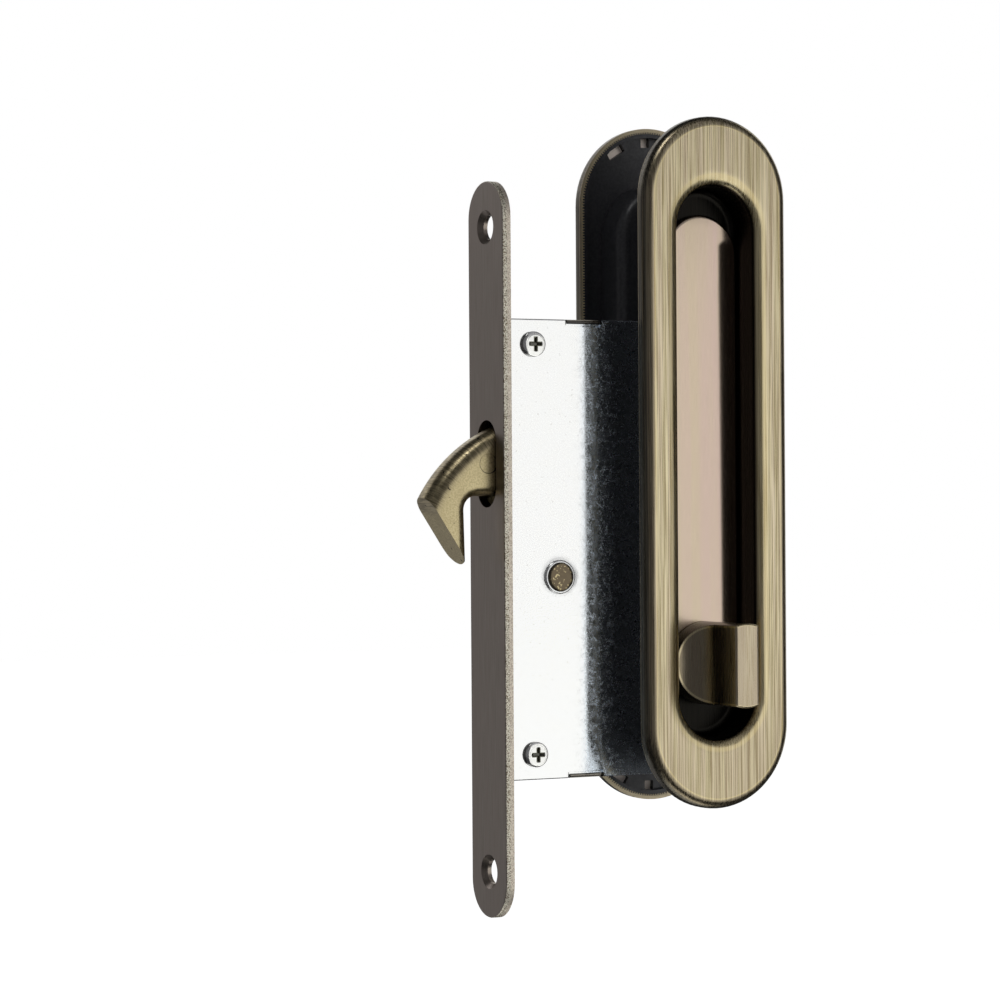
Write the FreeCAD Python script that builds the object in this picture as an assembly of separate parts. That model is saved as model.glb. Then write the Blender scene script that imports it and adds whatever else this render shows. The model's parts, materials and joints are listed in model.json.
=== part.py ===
import FreeCAD, Part
import math
import os

os.makedirs("parts", exist_ok=True)

V = FreeCAD.Vector

# A hook lock for a sliding pocket door, with an oval flush pull on each face of the door.
# Millimetres. +X runs into the door from the front of the faceplate, which is at X = 0.
# +Y runs from the pull with the thumb turn to the other pull, and Y = 0 is the middle of the door.
# +Z is up, and Z = 0 is halfway between the two screw holes of the faceplate.

# Faceplate
PLATE_LENGTH = 160.0
PLATE_WIDTH = 16.0
PLATE_THICK = 2.0
PLATE_SCREW_SPACING = 140.0
PLATE_SCREW_R = 2.7
PLATE_SINK_R = 3.75
PLATE_EDGE_ROUND = 0.25
SLOT_ROOM_ABOVE = 1.3
SLOT_ROOM_BELOW = 2.5
SLOT_ROOM_BESIDE = 0.3

# Lock case of folded sheet
CASE_HEIGHT = 100.0
CASE_END_X = 65.0
CASE_DEPTH = 12.0
SHEET = 1.0
SHEET_EDGE_ROUND = 0.3
LUG_LENGTH = 9.0
LUG_REACH = 1.2
LUG_FROM_END = 14.0
TAB_X = 20.8
TAB_WIDTH = 8.1
TAB_REACH = 4.5
TAB_CLEARANCE = 0.25
TAB_BEND = 1.25
TAB_ROUND = 1.0
TAB_SET_BACK = 0.1
TAB_RELIEF = 0.35
TAB_RELIEF_DEPTH = 0.55
COVER_SCREW_X = 8.3
COVER_SCREW_FROM_END = 5.5
COVER_SCREW_HEAD_R = 2.75
COVER_SCREW_HEAD = 1.5
COVER_SCREW_R = 1.5
HEAD_ROUND_SHARE = 0.6
CROSS_DEPTH_SHARE = 0.7
CROSS_REACH_SHARE = 0.62
CROSS_BAR_SHARE = 0.36
CROSS_FLOOR_SHARE = 0.45
END_POST_X = 59.0
POST_R = 3.2

# Hook bolt
HOOK_PIVOT_X = 14.5
HOOK_PIVOT_Z = -6.1
HOOK_THICK = 8.0
HOOK_OUTER_R = 35.2
HOOK_FACE_ANGLE = 60.3
HOOK_HEEL_ANGLE = 12.0
HOOK_TIP_DROP = 14.0
HOOK_TIP_ANGLE = 81.9
HOOK_NOSE_DEPTH = 13.9
HOOK_NECK_DEPTH = 17.5
HOOK_NECK_ROUND = 3.0
HOOK_BACK_ROUND = 3.4
HOOK_INNER_ROUND = 2.6
MOULD_MARK_OUT = 1.6
MOULD_MARK_R = 2.1
MOULD_MARK_DEPTH = 0.15
HOOK_HUB_R = 7.5
HUB_LAP = 1.0
HOOK_JOURNAL_R = 3.12
HOOK_TRAVEL = 40.0
COLLAR_WALL = 0.5
COLLAR_HEIGHT = 0.7
COLLAR_ROUND_SHARE = 0.6
JOURNAL_REACH_SHARE = 0.3

# Turn: knob, spindle, follower and release on one axis
TURN_TRAVEL = 90.0
TURN_X = 49.1
TURN_Z = -25.6
SPINDLE_SIDE = 5.0
FOLLOWER_HUB_R = 8.0
FOLLOWER_JOURNAL_R = 6.0
FOLLOWER_WAIST_R = 5.2
PIN_BOSS_WALL = 1.2
PIN_R = 2.4
PIN_ARM = 14.0
ARM_THICK = 2.2
FORK_THICK = 4.2
FORK_CLEARANCE = 0.25
FORK_WALL = 2.8
FORK_ROUND_SHARE = 0.8
FORK_LAP_SHARE = 0.6
PIN_PATH_STEPS = 18
WASHER_THICK = 0.4

# Oval pulls
PULL_LENGTH = 152.5
PULL_WIDTH = 36.5
PULL_CENTRE_Z = 18.7
PULL_SKIRT = 3.5
PULL_SPACING = 25.8
PULL_SHEET = 0.8
RIM_ROUND = 2.2
CUP_LENGTH = 122.0
CUP_WIDTH = 19.8
CUP_DRAFT = 0.5
LIP_ROUND = 1.9
CUP_CORNER_ROUND = 1.6
BASE_WALL = 1.2
BASE_FLOOR = 1.0
BASE_WINDOW_REACH = 2.1
BASE_WINDOWS = ((58, 4.4), (91, 2.2), (122, 4.4))
INSERT_LENGTH = 107.0
INSERT_WIDTH = 15.6
INSERT_HEIGHT = 1.8
INSERT_SHEET = 0.7
INSERT_ROUND = 1.3

# Screws that clamp the two pulls through the case
CLAMP_FROM_END = 7.0
CLAMP_SPACING = 38.0
CLAMP_SHANK_R = 2.0
CLAMP_NUT_R = 3.0
CLAMP_HEAD_R = 3.6
CLAMP_HEAD = 0.8
CLAMP_LAP = 6.0

# Knob and release
KNOB_R = 9.2
KNOB_PROUD = 11.3
KNOB_DISC = 3.4
KNOB_RIDGE = 5.8
KNOB_SCOOP_RISE = 6.75
KNOB_SCOOP_MID_OUT = 1.5
KNOB_SCOOP_MID_UP = 2.4
KNOB_EDGE_ROUND = 0.5
NECK_R = 4.4
NECK_GROOVE = 0.5
RING_R = 6.2
RING_THICK = 0.5
RELEASE_R = 7.0
RELEASE_HEIGHT = 1.2
COIN_SLOT = 1.6
COIN_SLOT_DEPTH = 0.8
COIN_SLOT_SHARE = 0.8
RING_GAP_SHARE = 0.6
SPINDLE_END_LAP = 2.0

# Clearances
RUNNING = 0.08
SEAT_GAP = 0.05
FREE_GAP = 0.3
SIDE_PLAY = 0.15
OVERCUT = 1.0

# Places that follow from the sizes above
CASE_FACE = CASE_DEPTH / 2
CASE_INNER = CASE_FACE - SHEET
FLANGE_BACK = PULL_SPACING / 2
FLANGE_FACE = FLANGE_BACK + PULL_SKIRT
CUP_FLOOR_BACK = CASE_FACE + BASE_FLOOR
CUP_FLOOR = CUP_FLOOR_BACK + PULL_SHEET
INSERT_TOP = CUP_FLOOR + INSERT_HEIGHT
PULL_CENTRE_X = TURN_X
LUG_Z = CASE_HEIGHT / 2 - LUG_FROM_END
COVER_SCREW_Z = CASE_HEIGHT / 2 - COVER_SCREW_FROM_END
CLAMP_UPPER_Z = CASE_HEIGHT / 2 - CLAMP_FROM_END
CLAMP_LOWER_Z = CLAMP_UPPER_Z - CLAMP_SPACING
HOOK_TIP_R = HOOK_OUTER_R - HOOK_TIP_DROP
HOOK_THROAT_X = HOOK_PIVOT_X - HOOK_OUTER_R + HOOK_NOSE_DEPTH
HOOK_NECK_Z = HOOK_PIVOT_Z + HOOK_OUTER_R - HOOK_NECK_DEPTH
HOOK_TOP_IN_SLOT = HOOK_PIVOT_Z + math.sqrt(HOOK_OUTER_R ** 2 - (HOOK_PIVOT_X - PLATE_THICK) ** 2)
SLOT_HIGH_Z = HOOK_TOP_IN_SLOT + SLOT_ROOM_ABOVE
SLOT_LOW_Z = HOOK_NECK_Z - SLOT_ROOM_BELOW
SLOT_CENTRE_Z = (SLOT_HIGH_Z + SLOT_LOW_Z) / 2
LINE_ANGLE = math.degrees(math.atan2(HOOK_PIVOT_Z - TURN_Z, HOOK_PIVOT_X - TURN_X))
RATIO = HOOK_TRAVEL / TURN_TRAVEL
FORK_HALF = FORK_THICK / 2
SHOULDER = CASE_INNER - SIDE_PLAY


def cylinder(x, z, radius, y_from, y_to):
    """A round bar along Y."""
    return Part.makeCylinder(radius, y_to - y_from, V(x, y_from, z), V(0, 1, 0))


def box(x_from, x_to, y_from, y_to, z_from, z_to):
    """A block between two corners."""
    return Part.makeBox(x_to - x_from, y_to - y_from, z_to - z_from, V(x_from, y_from, z_from))


def oval_wire(length, width, y, centre_x, centre_z):
    """A straight-sided oval in a plane of constant Y, long along Z."""
    r = width / 2
    h = length / 2 - r
    left, right = centre_x - r, centre_x + r
    low, high = centre_z - h, centre_z + h
    edges = [
        Part.LineSegment(V(right, y, low), V(right, y, high)).toShape(),
        Part.Arc(V(right, y, high), V(centre_x, y, high + r), V(left, y, high)).toShape(),
        Part.LineSegment(V(left, y, high), V(left, y, low)).toShape(),
        Part.Arc(V(left, y, low), V(centre_x, y, low - r), V(right, y, low)).toShape(),
    ]
    return Part.Wire(edges)


def oval(length, width, y_from, y_to, grow=0.0, centre_x=PULL_CENTRE_X, centre_z=PULL_CENTRE_Z):
    """An oval block along Y whose outline grows by the given amount at the far end."""
    start = oval_wire(length, width, y_from, centre_x, centre_z)
    if grow == 0.0:
        return Part.Face(start).extrude(V(0, y_to - y_from, 0))
    end = oval_wire(length + 2 * grow, width + 2 * grow, y_to, centre_x, centre_z)
    return Part.makeLoft([start, end], True)


def edges_at_y(shape, y):
    """The edges that lie wholly in the plane of one Y value."""
    found = []
    for edge in shape.Edges:
        span = edge.BoundBox
        if abs(span.YMin - y) < 1e-4 and abs(span.YMax - y) < 1e-4:
            found.append(edge)
    return found


def inner_edges_at_y(shape, y, length):
    """The edges in one Y plane that belong to an outline shorter than the given length."""
    limit = length / 2 + 0.01
    return [e for e in edges_at_y(shape, y) if e.BoundBox.ZMax - PULL_CENTRE_Z < limit
            and PULL_CENTRE_Z - e.BoundBox.ZMin < limit
            and e.BoundBox.XMax - PULL_CENTRE_X < limit - (CUP_LENGTH - CUP_WIDTH) / 2]


def on_circle(x, z, radius, degrees):
    """A point of a circle in the XZ plane, counted from +X towards +Z."""
    a = math.radians(degrees)
    return x + radius * math.cos(a), z + radius * math.sin(a)


def both_sides(shape, front):
    """A pull piece is drawn on the +Y side, and the front one is its mirror image."""
    return shape.mirror(V(0, 0, 0), V(0, 1, 0)) if front else shape


def save(name, shape):
    """Write one sub-part."""
    clean = shape.removeSplitter()
    clean.exportStep("parts/" + name + ".step")
    print(name, "solids", len(clean.Solids), "valid", clean.isValid(), "volume", round(clean.Volume, 1))


def faceplate():
    """The long plate on the door's edge, with round ends, two sunk holes and the slot for the hook."""
    blank = oval(PLATE_LENGTH, PLATE_WIDTH, 0, PLATE_THICK, centre_x=0, centre_z=0)
    blank = blank.makeFillet(PLATE_EDGE_ROUND, edges_at_y(blank, 0))
    blank.rotate(V(0, 0, 0), V(0, 0, 1), -90)
    slot_width = HOOK_THICK + 2 * SLOT_ROOM_BESIDE
    slot = oval(SLOT_HIGH_Z - SLOT_LOW_Z, slot_width, -OVERCUT, PLATE_THICK + OVERCUT, centre_x=0,
                centre_z=SLOT_CENTRE_Z)
    slot.rotate(V(0, 0, 0), V(0, 0, 1), -90)
    plate = blank.cut(slot)
    sink = PLATE_SINK_R - PLATE_SCREW_R
    for side in (-1, 1):
        z = side * PLATE_SCREW_SPACING / 2
        plate = plate.cut(Part.makeCylinder(PLATE_SCREW_R, PLATE_THICK, V(0, 0, z), V(1, 0, 0)))
        plate = plate.cut(Part.makeCone(PLATE_SINK_R, PLATE_SCREW_R, sink, V(0, 0, z), V(1, 0, 0)))
        for y in (CASE_FACE - SHEET / 2, SHEET / 2 - CASE_FACE):
            plate = plate.cut(lug(y, side, SEAT_GAP))
    return plate


def lug(y, side, grow):
    """A tongue on the case's front edge, staked into a pocket in the faceplate's back."""
    half = LUG_LENGTH / 2 + grow
    thick = SHEET / 2 + grow
    z = side * LUG_Z
    return box(PLATE_THICK - LUG_REACH - grow, PLATE_THICK + SHEET, y - thick, y + thick, z - half, z + half)


def case_holes():
    """What passes through both side walls of the case, as one cutter."""
    reach = CASE_FACE + OVERCUT
    cutter = cylinder(TURN_X, TURN_Z, FOLLOWER_JOURNAL_R + RUNNING, -reach, reach)
    cutter = cutter.fuse(cylinder(HOOK_PIVOT_X, HOOK_PIVOT_Z, HOOK_JOURNAL_R + RUNNING, -reach, reach))
    for z in (CLAMP_UPPER_Z, CLAMP_LOWER_Z):
        cutter = cutter.fuse(cylinder(TURN_X, z, CLAMP_NUT_R + FREE_GAP, -reach, reach))
    return cutter


def collar(side):
    """The drawn collar round the hook's pivot hole, standing out of the side wall."""
    start, end = sorted((side * CASE_FACE, side * (CASE_FACE + COLLAR_HEIGHT)))
    ring = cylinder(HOOK_PIVOT_X, HOOK_PIVOT_Z, HOOK_JOURNAL_R + RUNNING + COLLAR_WALL, start, end)
    outer = edges_at_y(ring, side * (CASE_FACE + COLLAR_HEIGHT))
    return ring.makeFillet(COLLAR_WALL * COLLAR_ROUND_SHARE, outer)


def tab(side, grow):
    """A tongue of the cover, folded over the top or the bottom wall of the tray."""
    half = TAB_WIDTH / 2 + grow
    high = side * CASE_HEIGHT / 2
    low = side * (CASE_HEIGHT / 2 - SHEET)
    deep = -CASE_FACE + TAB_REACH + grow
    return box(TAB_X - half, TAB_X + half, -CASE_FACE, deep, min(low, high), max(low, high))


def tongue(side):
    """The cover's own tongue: a rounded bend at the front, then a flat end in the tray's wall."""
    half = TAB_WIDTH / 2
    front = -CASE_FACE + TAB_SET_BACK
    edge = side * CASE_HEIGHT / 2
    root = side * (CASE_HEIGHT / 2 - TAB_BEND)
    bend = box(TAB_X - half, TAB_X + half, front, -CASE_FACE + TAB_BEND, min(edge, root), max(edge, root))
    outer = [e for e in edges_at_y(bend, front) if e.BoundBox.ZLength < 1e-4 and abs(e.BoundBox.ZMin - edge) < 1e-3]
    bend = bend.makeFillet(TAB_ROUND, outer)
    ahead = box(0, CASE_END_X, -CASE_DEPTH, -CASE_FACE + TAB_BEND, -CASE_HEIGHT, CASE_HEIGHT)
    return bend.fuse(tab(side, 0).cut(ahead))


def tongue_relief(side):
    """The shallow recess in the cover's face round the bend of its tongue."""
    half = TAB_WIDTH / 2 + TAB_RELIEF
    edge = side * (CASE_HEIGHT / 2 + OVERCUT)
    root = side * (CASE_HEIGHT / 2 - TAB_BEND - TAB_RELIEF)
    deep = -CASE_FACE + TAB_RELIEF_DEPTH
    return box(TAB_X - half, TAB_X + half, -CASE_DEPTH, deep, min(edge, root), max(edge, root))


def case_tray():
    """The box of the lock, folded from one sheet and open at the front edge and on the cover's side."""
    half = CASE_HEIGHT / 2
    outer = box(PLATE_THICK, CASE_END_X, -CASE_INNER, CASE_FACE, -half, half)
    bend = [e for e in edges_at_y(outer, CASE_FACE) if e.BoundBox.XMax > CASE_END_X - SHEET]
    outer = outer.makeFillet(SHEET, bend)
    inner = box(PLATE_THICK - OVERCUT, CASE_END_X - SHEET, -CASE_FACE, CASE_INNER, SHEET - half, half - SHEET)
    tray = outer.cut(inner)
    tray = tray.fuse(collar(1)).cut(case_holes())
    for side in (-1, 1):
        tray = tray.cut(tab(side, TAB_CLEARANCE))
        tray = tray.fuse(lug(CASE_FACE - SHEET / 2, side, 0))
    return tray


def case_cover():
    """The flat side of the case, with a folded tab at the top and the bottom."""
    half = CASE_HEIGHT / 2
    cover = box(PLATE_THICK, CASE_END_X, -CASE_FACE, -CASE_INNER, -half, half)
    long_edges = [e for e in edges_at_y(cover, -CASE_FACE) if e.BoundBox.ZLength < 1e-4]
    cover = cover.makeFillet(SHEET_EDGE_ROUND, long_edges)
    cover = cover.fuse(collar(-1)).cut(case_holes())
    for side in (-1, 1):
        cover = cover.cut(tongue_relief(side)).fuse(tongue(side))
        cover = cover.fuse(lug(SHEET / 2 - CASE_FACE, side, 0))
        hole = cylinder(COVER_SCREW_X, side * COVER_SCREW_Z, COVER_SCREW_R + SEAT_GAP, -CASE_FACE, -CASE_INNER)
        cover = cover.cut(hole)
    return cover


def post(x, z, bored):
    """A round post between the two side walls, riveted to the tray, bored for a screw if asked."""
    bar = cylinder(x, z, POST_R, -CASE_INNER, CASE_INNER)
    if bored:
        bar = bar.cut(cylinder(x, z, COVER_SCREW_R + SEAT_GAP, -CASE_INNER, 0))
    return bar


def cross_recess(x, z, y, depth, reach):
    """A cross-shaped driver recess, narrower towards its bottom."""
    wide = reach * CROSS_BAR_SHARE
    bars = box(x - reach, x + reach, y, y + depth, z - wide / 2, z + wide / 2)
    bars = bars.fuse(box(x - wide / 2, x + wide / 2, y, y + depth, z - reach, z + reach))
    cone = Part.makeCone(reach, reach * CROSS_FLOOR_SHARE, depth, V(x, y, z), V(0, 1, 0))
    return bars.common(cone)


def cover_screw(side):
    """A pan head screw that holds the cover to its post."""
    z = side * COVER_SCREW_Z
    top = -CASE_FACE - COVER_SCREW_HEAD
    head = cylinder(COVER_SCREW_X, z, COVER_SCREW_HEAD_R, top, -CASE_FACE)
    head = head.makeFillet(COVER_SCREW_HEAD * HEAD_ROUND_SHARE, edges_at_y(head, top))
    deep = COVER_SCREW_HEAD * CROSS_DEPTH_SHARE
    head = head.cut(cross_recess(COVER_SCREW_X, z, top, deep, COVER_SCREW_HEAD_R * CROSS_REACH_SHARE))
    return head.fuse(cylinder(COVER_SCREW_X, z, COVER_SCREW_R, -CASE_FACE, -SEAT_GAP))


def hook_point(radius, angle):
    """A point of the hook about its pivot, at an angle from +Z towards the faceplate."""
    return on_circle(HOOK_PIVOT_X, HOOK_PIVOT_Z, radius, 90 + angle)


def hook_nose():
    """The hook itself: a round back about the pivot, a flat end face and a hollow throat."""
    def at(point):
        return V(point[0], -HOOK_THICK / 2, point[1])

    tip = at(hook_point(HOOK_TIP_R, HOOK_TIP_ANGLE))
    brow = at(hook_point(HOOK_OUTER_R, HOOK_FACE_ANGLE))
    beyond = tip + (brow - tip) * 2
    heel = at(hook_point(HOOK_OUTER_R, HOOK_HEEL_ANGLE))
    heel_top = heel + V(0, 0, HOOK_OUTER_R)
    top_left = V(beyond.x, beyond.y, heel_top.z)
    throat_top = at((HOOK_THROAT_X + HOOK_NECK_ROUND, HOOK_NECK_Z))
    throat_side = at((HOOK_THROAT_X, HOOK_NECK_Z - HOOK_NECK_ROUND))
    slant = HOOK_NECK_ROUND * (1 - math.sqrt(0.5))
    throat_mid = at((HOOK_THROAT_X + slant, HOOK_NECK_Z - slant))
    neck_end = at((HOOK_PIVOT_X - HOOK_HUB_R + HUB_LAP, HOOK_NECK_Z))
    hub_left = at((HOOK_PIVOT_X - HOOK_HUB_R + HUB_LAP, HOOK_PIVOT_Z))
    hub_right = at((HOOK_PIVOT_X + HOOK_HUB_R - HUB_LAP, HOOK_PIVOT_Z))
    corners = [throat_top, neck_end, hub_left, hub_right, heel, heel_top, top_left, beyond, tip, throat_side]
    edges = [Part.LineSegment(a, b).toShape() for a, b in zip(corners, corners[1:])]
    edges.append(Part.Arc(throat_side, throat_mid, throat_top).toShape())
    nose = Part.Face(Part.Wire(edges)).extrude(V(0, HOOK_THICK, 0))
    path = (tip, throat_side, throat_mid, throat_top, neck_end)
    nose = nose.makeFillet(HOOK_INNER_ROUND, throat_edges(nose, path))
    half = HOOK_THICK / 2
    wheel = cylinder(HOOK_PIVOT_X, HOOK_PIVOT_Z, HOOK_OUTER_R, -half, half)
    wheel = wheel.makeFillet(HOOK_BACK_ROUND, edges_at_y(wheel, half) + edges_at_y(wheel, -half))
    mark = cylinder(-MOULD_MARK_OUT, SLOT_CENTRE_Z, MOULD_MARK_R, -HOOK_THICK, MOULD_MARK_DEPTH - half)
    return nose.common(wheel).cut([mark, tip_corners(tip, brow)])


def tip_corners(tip, brow):
    """What is cut from the hook's tip, so that its flat end face has a round lower end."""
    half = HOOK_THICK / 2
    along = (brow - tip).normalize()
    inward = V(along.z, 0, -along.x)
    start = tip - along * OVERCUT - inward * OVERCUT
    wide = along * (half + OVERCUT)
    deep = inward * HOOK_THICK
    corners = [start, start + wide, start + wide + deep, start + deep, start]
    block = Part.Face(Part.makePolygon(corners)).extrude(V(0, HOOK_THICK, 0))
    centre = tip + along * half - inward * OVERCUT + V(0, half, 0)
    return block.cut(Part.makeCylinder(half, HOOK_THICK + OVERCUT, centre, inward))


def throat_edges(nose, path):
    """The edges on both flat sides of the hook that follow the throat and the neck's underside."""
    found = []
    tip, side, mid, top, end = path
    wanted = [(tip + side) / 2, mid, (top + end) / 2]
    for edge in nose.Edges:
        if edge.BoundBox.YLength > 1e-4:
            continue
        point = edge.valueAt((edge.FirstParameter + edge.LastParameter) / 2)
        if any(math.hypot(point.x - w.x, point.z - w.z) < 0.01 for w in wanted):
            found.append(edge)
    return found


def pin_in_hook(turn_angle):
    """Where the follower's pin lies in the hook's own frame when the knob has turned by an angle."""
    start = LINE_ANGLE - TURN_TRAVEL / 2
    x, z = on_circle(TURN_X, TURN_Z, PIN_ARM, start + turn_angle)
    dx, dz = x - HOOK_PIVOT_X, z - HOOK_PIVOT_Z
    back = math.radians(RATIO * turn_angle)
    return (HOOK_PIVOT_X + dx * math.cos(back) - dz * math.sin(back),
            HOOK_PIVOT_Z + dx * math.sin(back) + dz * math.cos(back))


def fork_tail():
    """The forked tail. Its slot is the path that the pin sweeps, so the hook turns at a constant ratio."""
    rest = pin_in_hook(0.0)
    middle = pin_in_hook(TURN_TRAVEL / 2)
    out = math.degrees(math.atan2(middle[1] - HOOK_PIVOT_Z, middle[0] - HOOK_PIVOT_X))
    reach = math.hypot(rest[0] - HOOK_PIVOT_X, rest[1] - HOOK_PIVOT_Z) + PIN_R * FORK_LAP_SHARE
    half = PIN_R + FORK_CLEARANCE + FORK_WALL
    arm = box(0, reach, -FORK_HALF, FORK_HALF, -half, half)
    corners = [e for e in arm.Edges if e.BoundBox.XMin > reach - 1e-3 and e.BoundBox.YLength > FORK_HALF]
    arm = arm.makeFillet(FORK_WALL * FORK_ROUND_SHARE, corners)
    arm.rotate(V(0, 0, 0), V(0, 1, 0), -out)
    arm.translate(V(HOOK_PIVOT_X, 0, HOOK_PIVOT_Z))
    radius = PIN_R + FORK_CLEARANCE
    for step in range(PIN_PATH_STEPS + 1):
        x, z = pin_in_hook(TURN_TRAVEL * step / PIN_PATH_STEPS)
        exit_x, exit_z = on_circle(x, z, reach, out)
        lane = box(0, math.hypot(exit_x - x, exit_z - z), -FORK_THICK, FORK_THICK, -radius, radius)
        lane.rotate(V(0, 0, 0), V(0, 1, 0), -out)
        lane.translate(V(x, 0, z))
        arm = arm.cut(lane.fuse(cylinder(x, z, radius, -FORK_THICK, FORK_THICK)))
    return arm


def hook_bolt():
    """Hook, hub, journals and forked tail, cast in one piece."""
    hub = cylinder(HOOK_PIVOT_X, HOOK_PIVOT_Z, HOOK_HUB_R, -SHOULDER, SHOULDER)
    end = CASE_FACE + COLLAR_HEIGHT * JOURNAL_REACH_SHARE
    journals = cylinder(HOOK_PIVOT_X, HOOK_PIVOT_Z, HOOK_JOURNAL_R, -end, end)
    return hook_nose().fuse([hub, journals, fork_tail()])


def square_bar(side, y_from, y_to):
    """A square bar along Y on the turn's axis."""
    half = side / 2
    return box(TURN_X - half, TURN_X + half, y_from, y_to, TURN_Z - half, TURN_Z + half)


def follower():
    """The hub that the spindle turns, with journals in both side walls and an arm with the drive pin."""
    start = LINE_ANGLE - TURN_TRAVEL / 2
    pin_x, pin_z = on_circle(TURN_X, TURN_Z, PIN_ARM, start)
    arm_from = FORK_HALF + FREE_GAP
    arm_to = arm_from + ARM_THICK
    hub = cylinder(TURN_X, TURN_Z, FOLLOWER_HUB_R, -SHOULDER + WASHER_THICK, SHOULDER)
    hub = hub.fuse(cylinder(TURN_X, TURN_Z, FOLLOWER_JOURNAL_R, -CASE_FACE + SEAT_GAP, CASE_FACE - SEAT_GAP))
    waist = cylinder(TURN_X, TURN_Z, FOLLOWER_HUB_R, -arm_from, arm_from)
    waist = waist.cut(cylinder(TURN_X, TURN_Z, FOLLOWER_WAIST_R, -arm_from, arm_from))
    hub = hub.cut(waist)
    half = PIN_R + PIN_BOSS_WALL
    arm = box(0, PIN_ARM, arm_from, arm_to, -half, half)
    arm.rotate(V(0, 0, 0), V(0, 1, 0), -start)
    arm.translate(V(TURN_X, 0, TURN_Z))
    arm = arm.fuse(cylinder(pin_x, pin_z, half, arm_from, arm_to))
    pin = cylinder(pin_x, pin_z, PIN_R, -FORK_HALF - FREE_GAP, arm_to)
    return hub.fuse([arm, pin]).cut(square_bar(SPINDLE_SIDE + 2 * SEAT_GAP, -CASE_DEPTH, CASE_DEPTH))


def friction_washer():
    """A spring washer between the follower and the cover, which keeps the knob where it is put."""
    ring = cylinder(TURN_X, TURN_Z, FOLLOWER_HUB_R, -CASE_INNER, -CASE_INNER + WASHER_THICK)
    return ring.cut(cylinder(TURN_X, TURN_Z, FOLLOWER_JOURNAL_R + FREE_GAP, -CASE_DEPTH, CASE_DEPTH))


def knob_top():
    """How far the knob's ridge stands from the middle of the door."""
    return FLANGE_FACE + KNOB_PROUD


def disc_bottom():
    """The underside of the knob's disc, just clear of the insert plate."""
    return INSERT_TOP + FREE_GAP


def spindle():
    """The square bar that joins the knob, the follower and the release."""
    return square_bar(SPINDLE_SIDE, -(knob_top() - KNOB_DISC * SPINDLE_END_LAP), INSERT_TOP)


def neck(y_to):
    """The round neck below a knob or release, grooved for its retaining ring."""
    shaft = cylinder(TURN_X, TURN_Z, NECK_R, CASE_FACE + FREE_GAP, y_to)
    groove = cylinder(TURN_X, TURN_Z, NECK_R + OVERCUT, ring_from(), ring_from() + RING_THICK + 2 * SEAT_GAP)
    return shaft.cut(groove.cut(cylinder(TURN_X, TURN_Z, NECK_R - NECK_GROOVE, 0, PULL_SPACING)))


def ring_from():
    """Where the retaining ring starts, in the hollow under the insert plate."""
    return CUP_FLOOR + SEAT_GAP


def scoop(side, shelf, high):
    """The cutter for one hollow beside the knob's ridge, level with the shelf at the knob's rim."""
    near = KNOB_RIDGE / 2
    outline = [(near, high), (near, shelf + KNOB_SCOOP_RISE),
               (near + KNOB_SCOOP_MID_OUT, shelf + KNOB_SCOOP_MID_UP), (KNOB_R + KNOB_EDGE_ROUND, shelf),
               (KNOB_R + OVERCUT, shelf), (KNOB_R + OVERCUT, high)]
    start = TURN_Z - KNOB_R - OVERCUT
    top, neck_point, middle, rim, out, above = [V(TURN_X + side * across, up, start) for across, up in outline]
    wire = Part.Wire([
        Part.LineSegment(top, neck_point).toShape(),
        Part.Arc(neck_point, middle, rim).toShape(),
        Part.LineSegment(rim, out).toShape(),
        Part.LineSegment(out, above).toShape(),
        Part.LineSegment(above, top).toShape(),
    ])
    return Part.Face(wire).extrude(V(0, 0, 2 * (KNOB_R + OVERCUT)))


def thumb_turn():
    """The knob: a disc with a central ridge between two hollow scoops."""
    top = knob_top()
    low = disc_bottom()
    body = cylinder(TURN_X, TURN_Z, KNOB_R, low, top)
    for side in (-1, 1):
        body = body.cut(scoop(side, low + KNOB_DISC, top + OVERCUT))
    body = body.makeFillet(KNOB_EDGE_ROUND, edges_at_y(body, top))
    body = body.fuse(neck(low + KNOB_DISC / 2))
    hole = square_bar(SPINDLE_SIDE + 2 * SEAT_GAP, 0, top - KNOB_DISC * SPINDLE_END_LAP + SEAT_GAP)
    return both_sides(body.cut(hole), True)


def rear_release():
    """The low slotted disc that opens the lock with a coin from the other face."""
    low = disc_bottom()
    top = low + RELEASE_HEIGHT
    disc = cylinder(TURN_X, TURN_Z, RELEASE_R, low, top)
    disc = disc.makeFillet(KNOB_EDGE_ROUND, edges_at_y(disc, top))
    disc = disc.fuse(neck(low + RELEASE_HEIGHT / 2))
    reach = RELEASE_R * COIN_SLOT_SHARE
    coin = box(TURN_X - COIN_SLOT / 2, TURN_X + COIN_SLOT / 2, top - COIN_SLOT_DEPTH, top + OVERCUT,
               TURN_Z - reach, TURN_Z + reach)
    hole = square_bar(SPINDLE_SIDE + 2 * SEAT_GAP, 0, INSERT_TOP + SEAT_GAP)
    return disc.cut(hole).cut(coin)


def retaining_ring(front):
    """An open ring in the neck's groove, under the insert plate."""
    start = ring_from() + SEAT_GAP
    ring = cylinder(TURN_X, TURN_Z, RING_R, start, start + RING_THICK)
    ring = ring.cut(cylinder(TURN_X, TURN_Z, NECK_R - NECK_GROOVE + SEAT_GAP, 0, PULL_SPACING))
    half = NECK_R * RING_GAP_SHARE
    gap = box(TURN_X - half, TURN_X + half, 0, PULL_SPACING, TURN_Z - RING_R - OVERCUT, TURN_Z)
    return both_sides(ring.cut(gap), front)


def pull_floor_holes(y_from, y_to, clamp_r):
    """Cutters for the knob's neck and the clamp screws through the floor of a pull."""
    cutter = cylinder(TURN_X, TURN_Z, NECK_R + FREE_GAP, y_from, y_to)
    for z in (CLAMP_UPPER_Z, CLAMP_LOWER_Z):
        cutter = cutter.fuse(cylinder(TURN_X, z, clamp_r, y_from, y_to))
    return cutter


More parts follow.
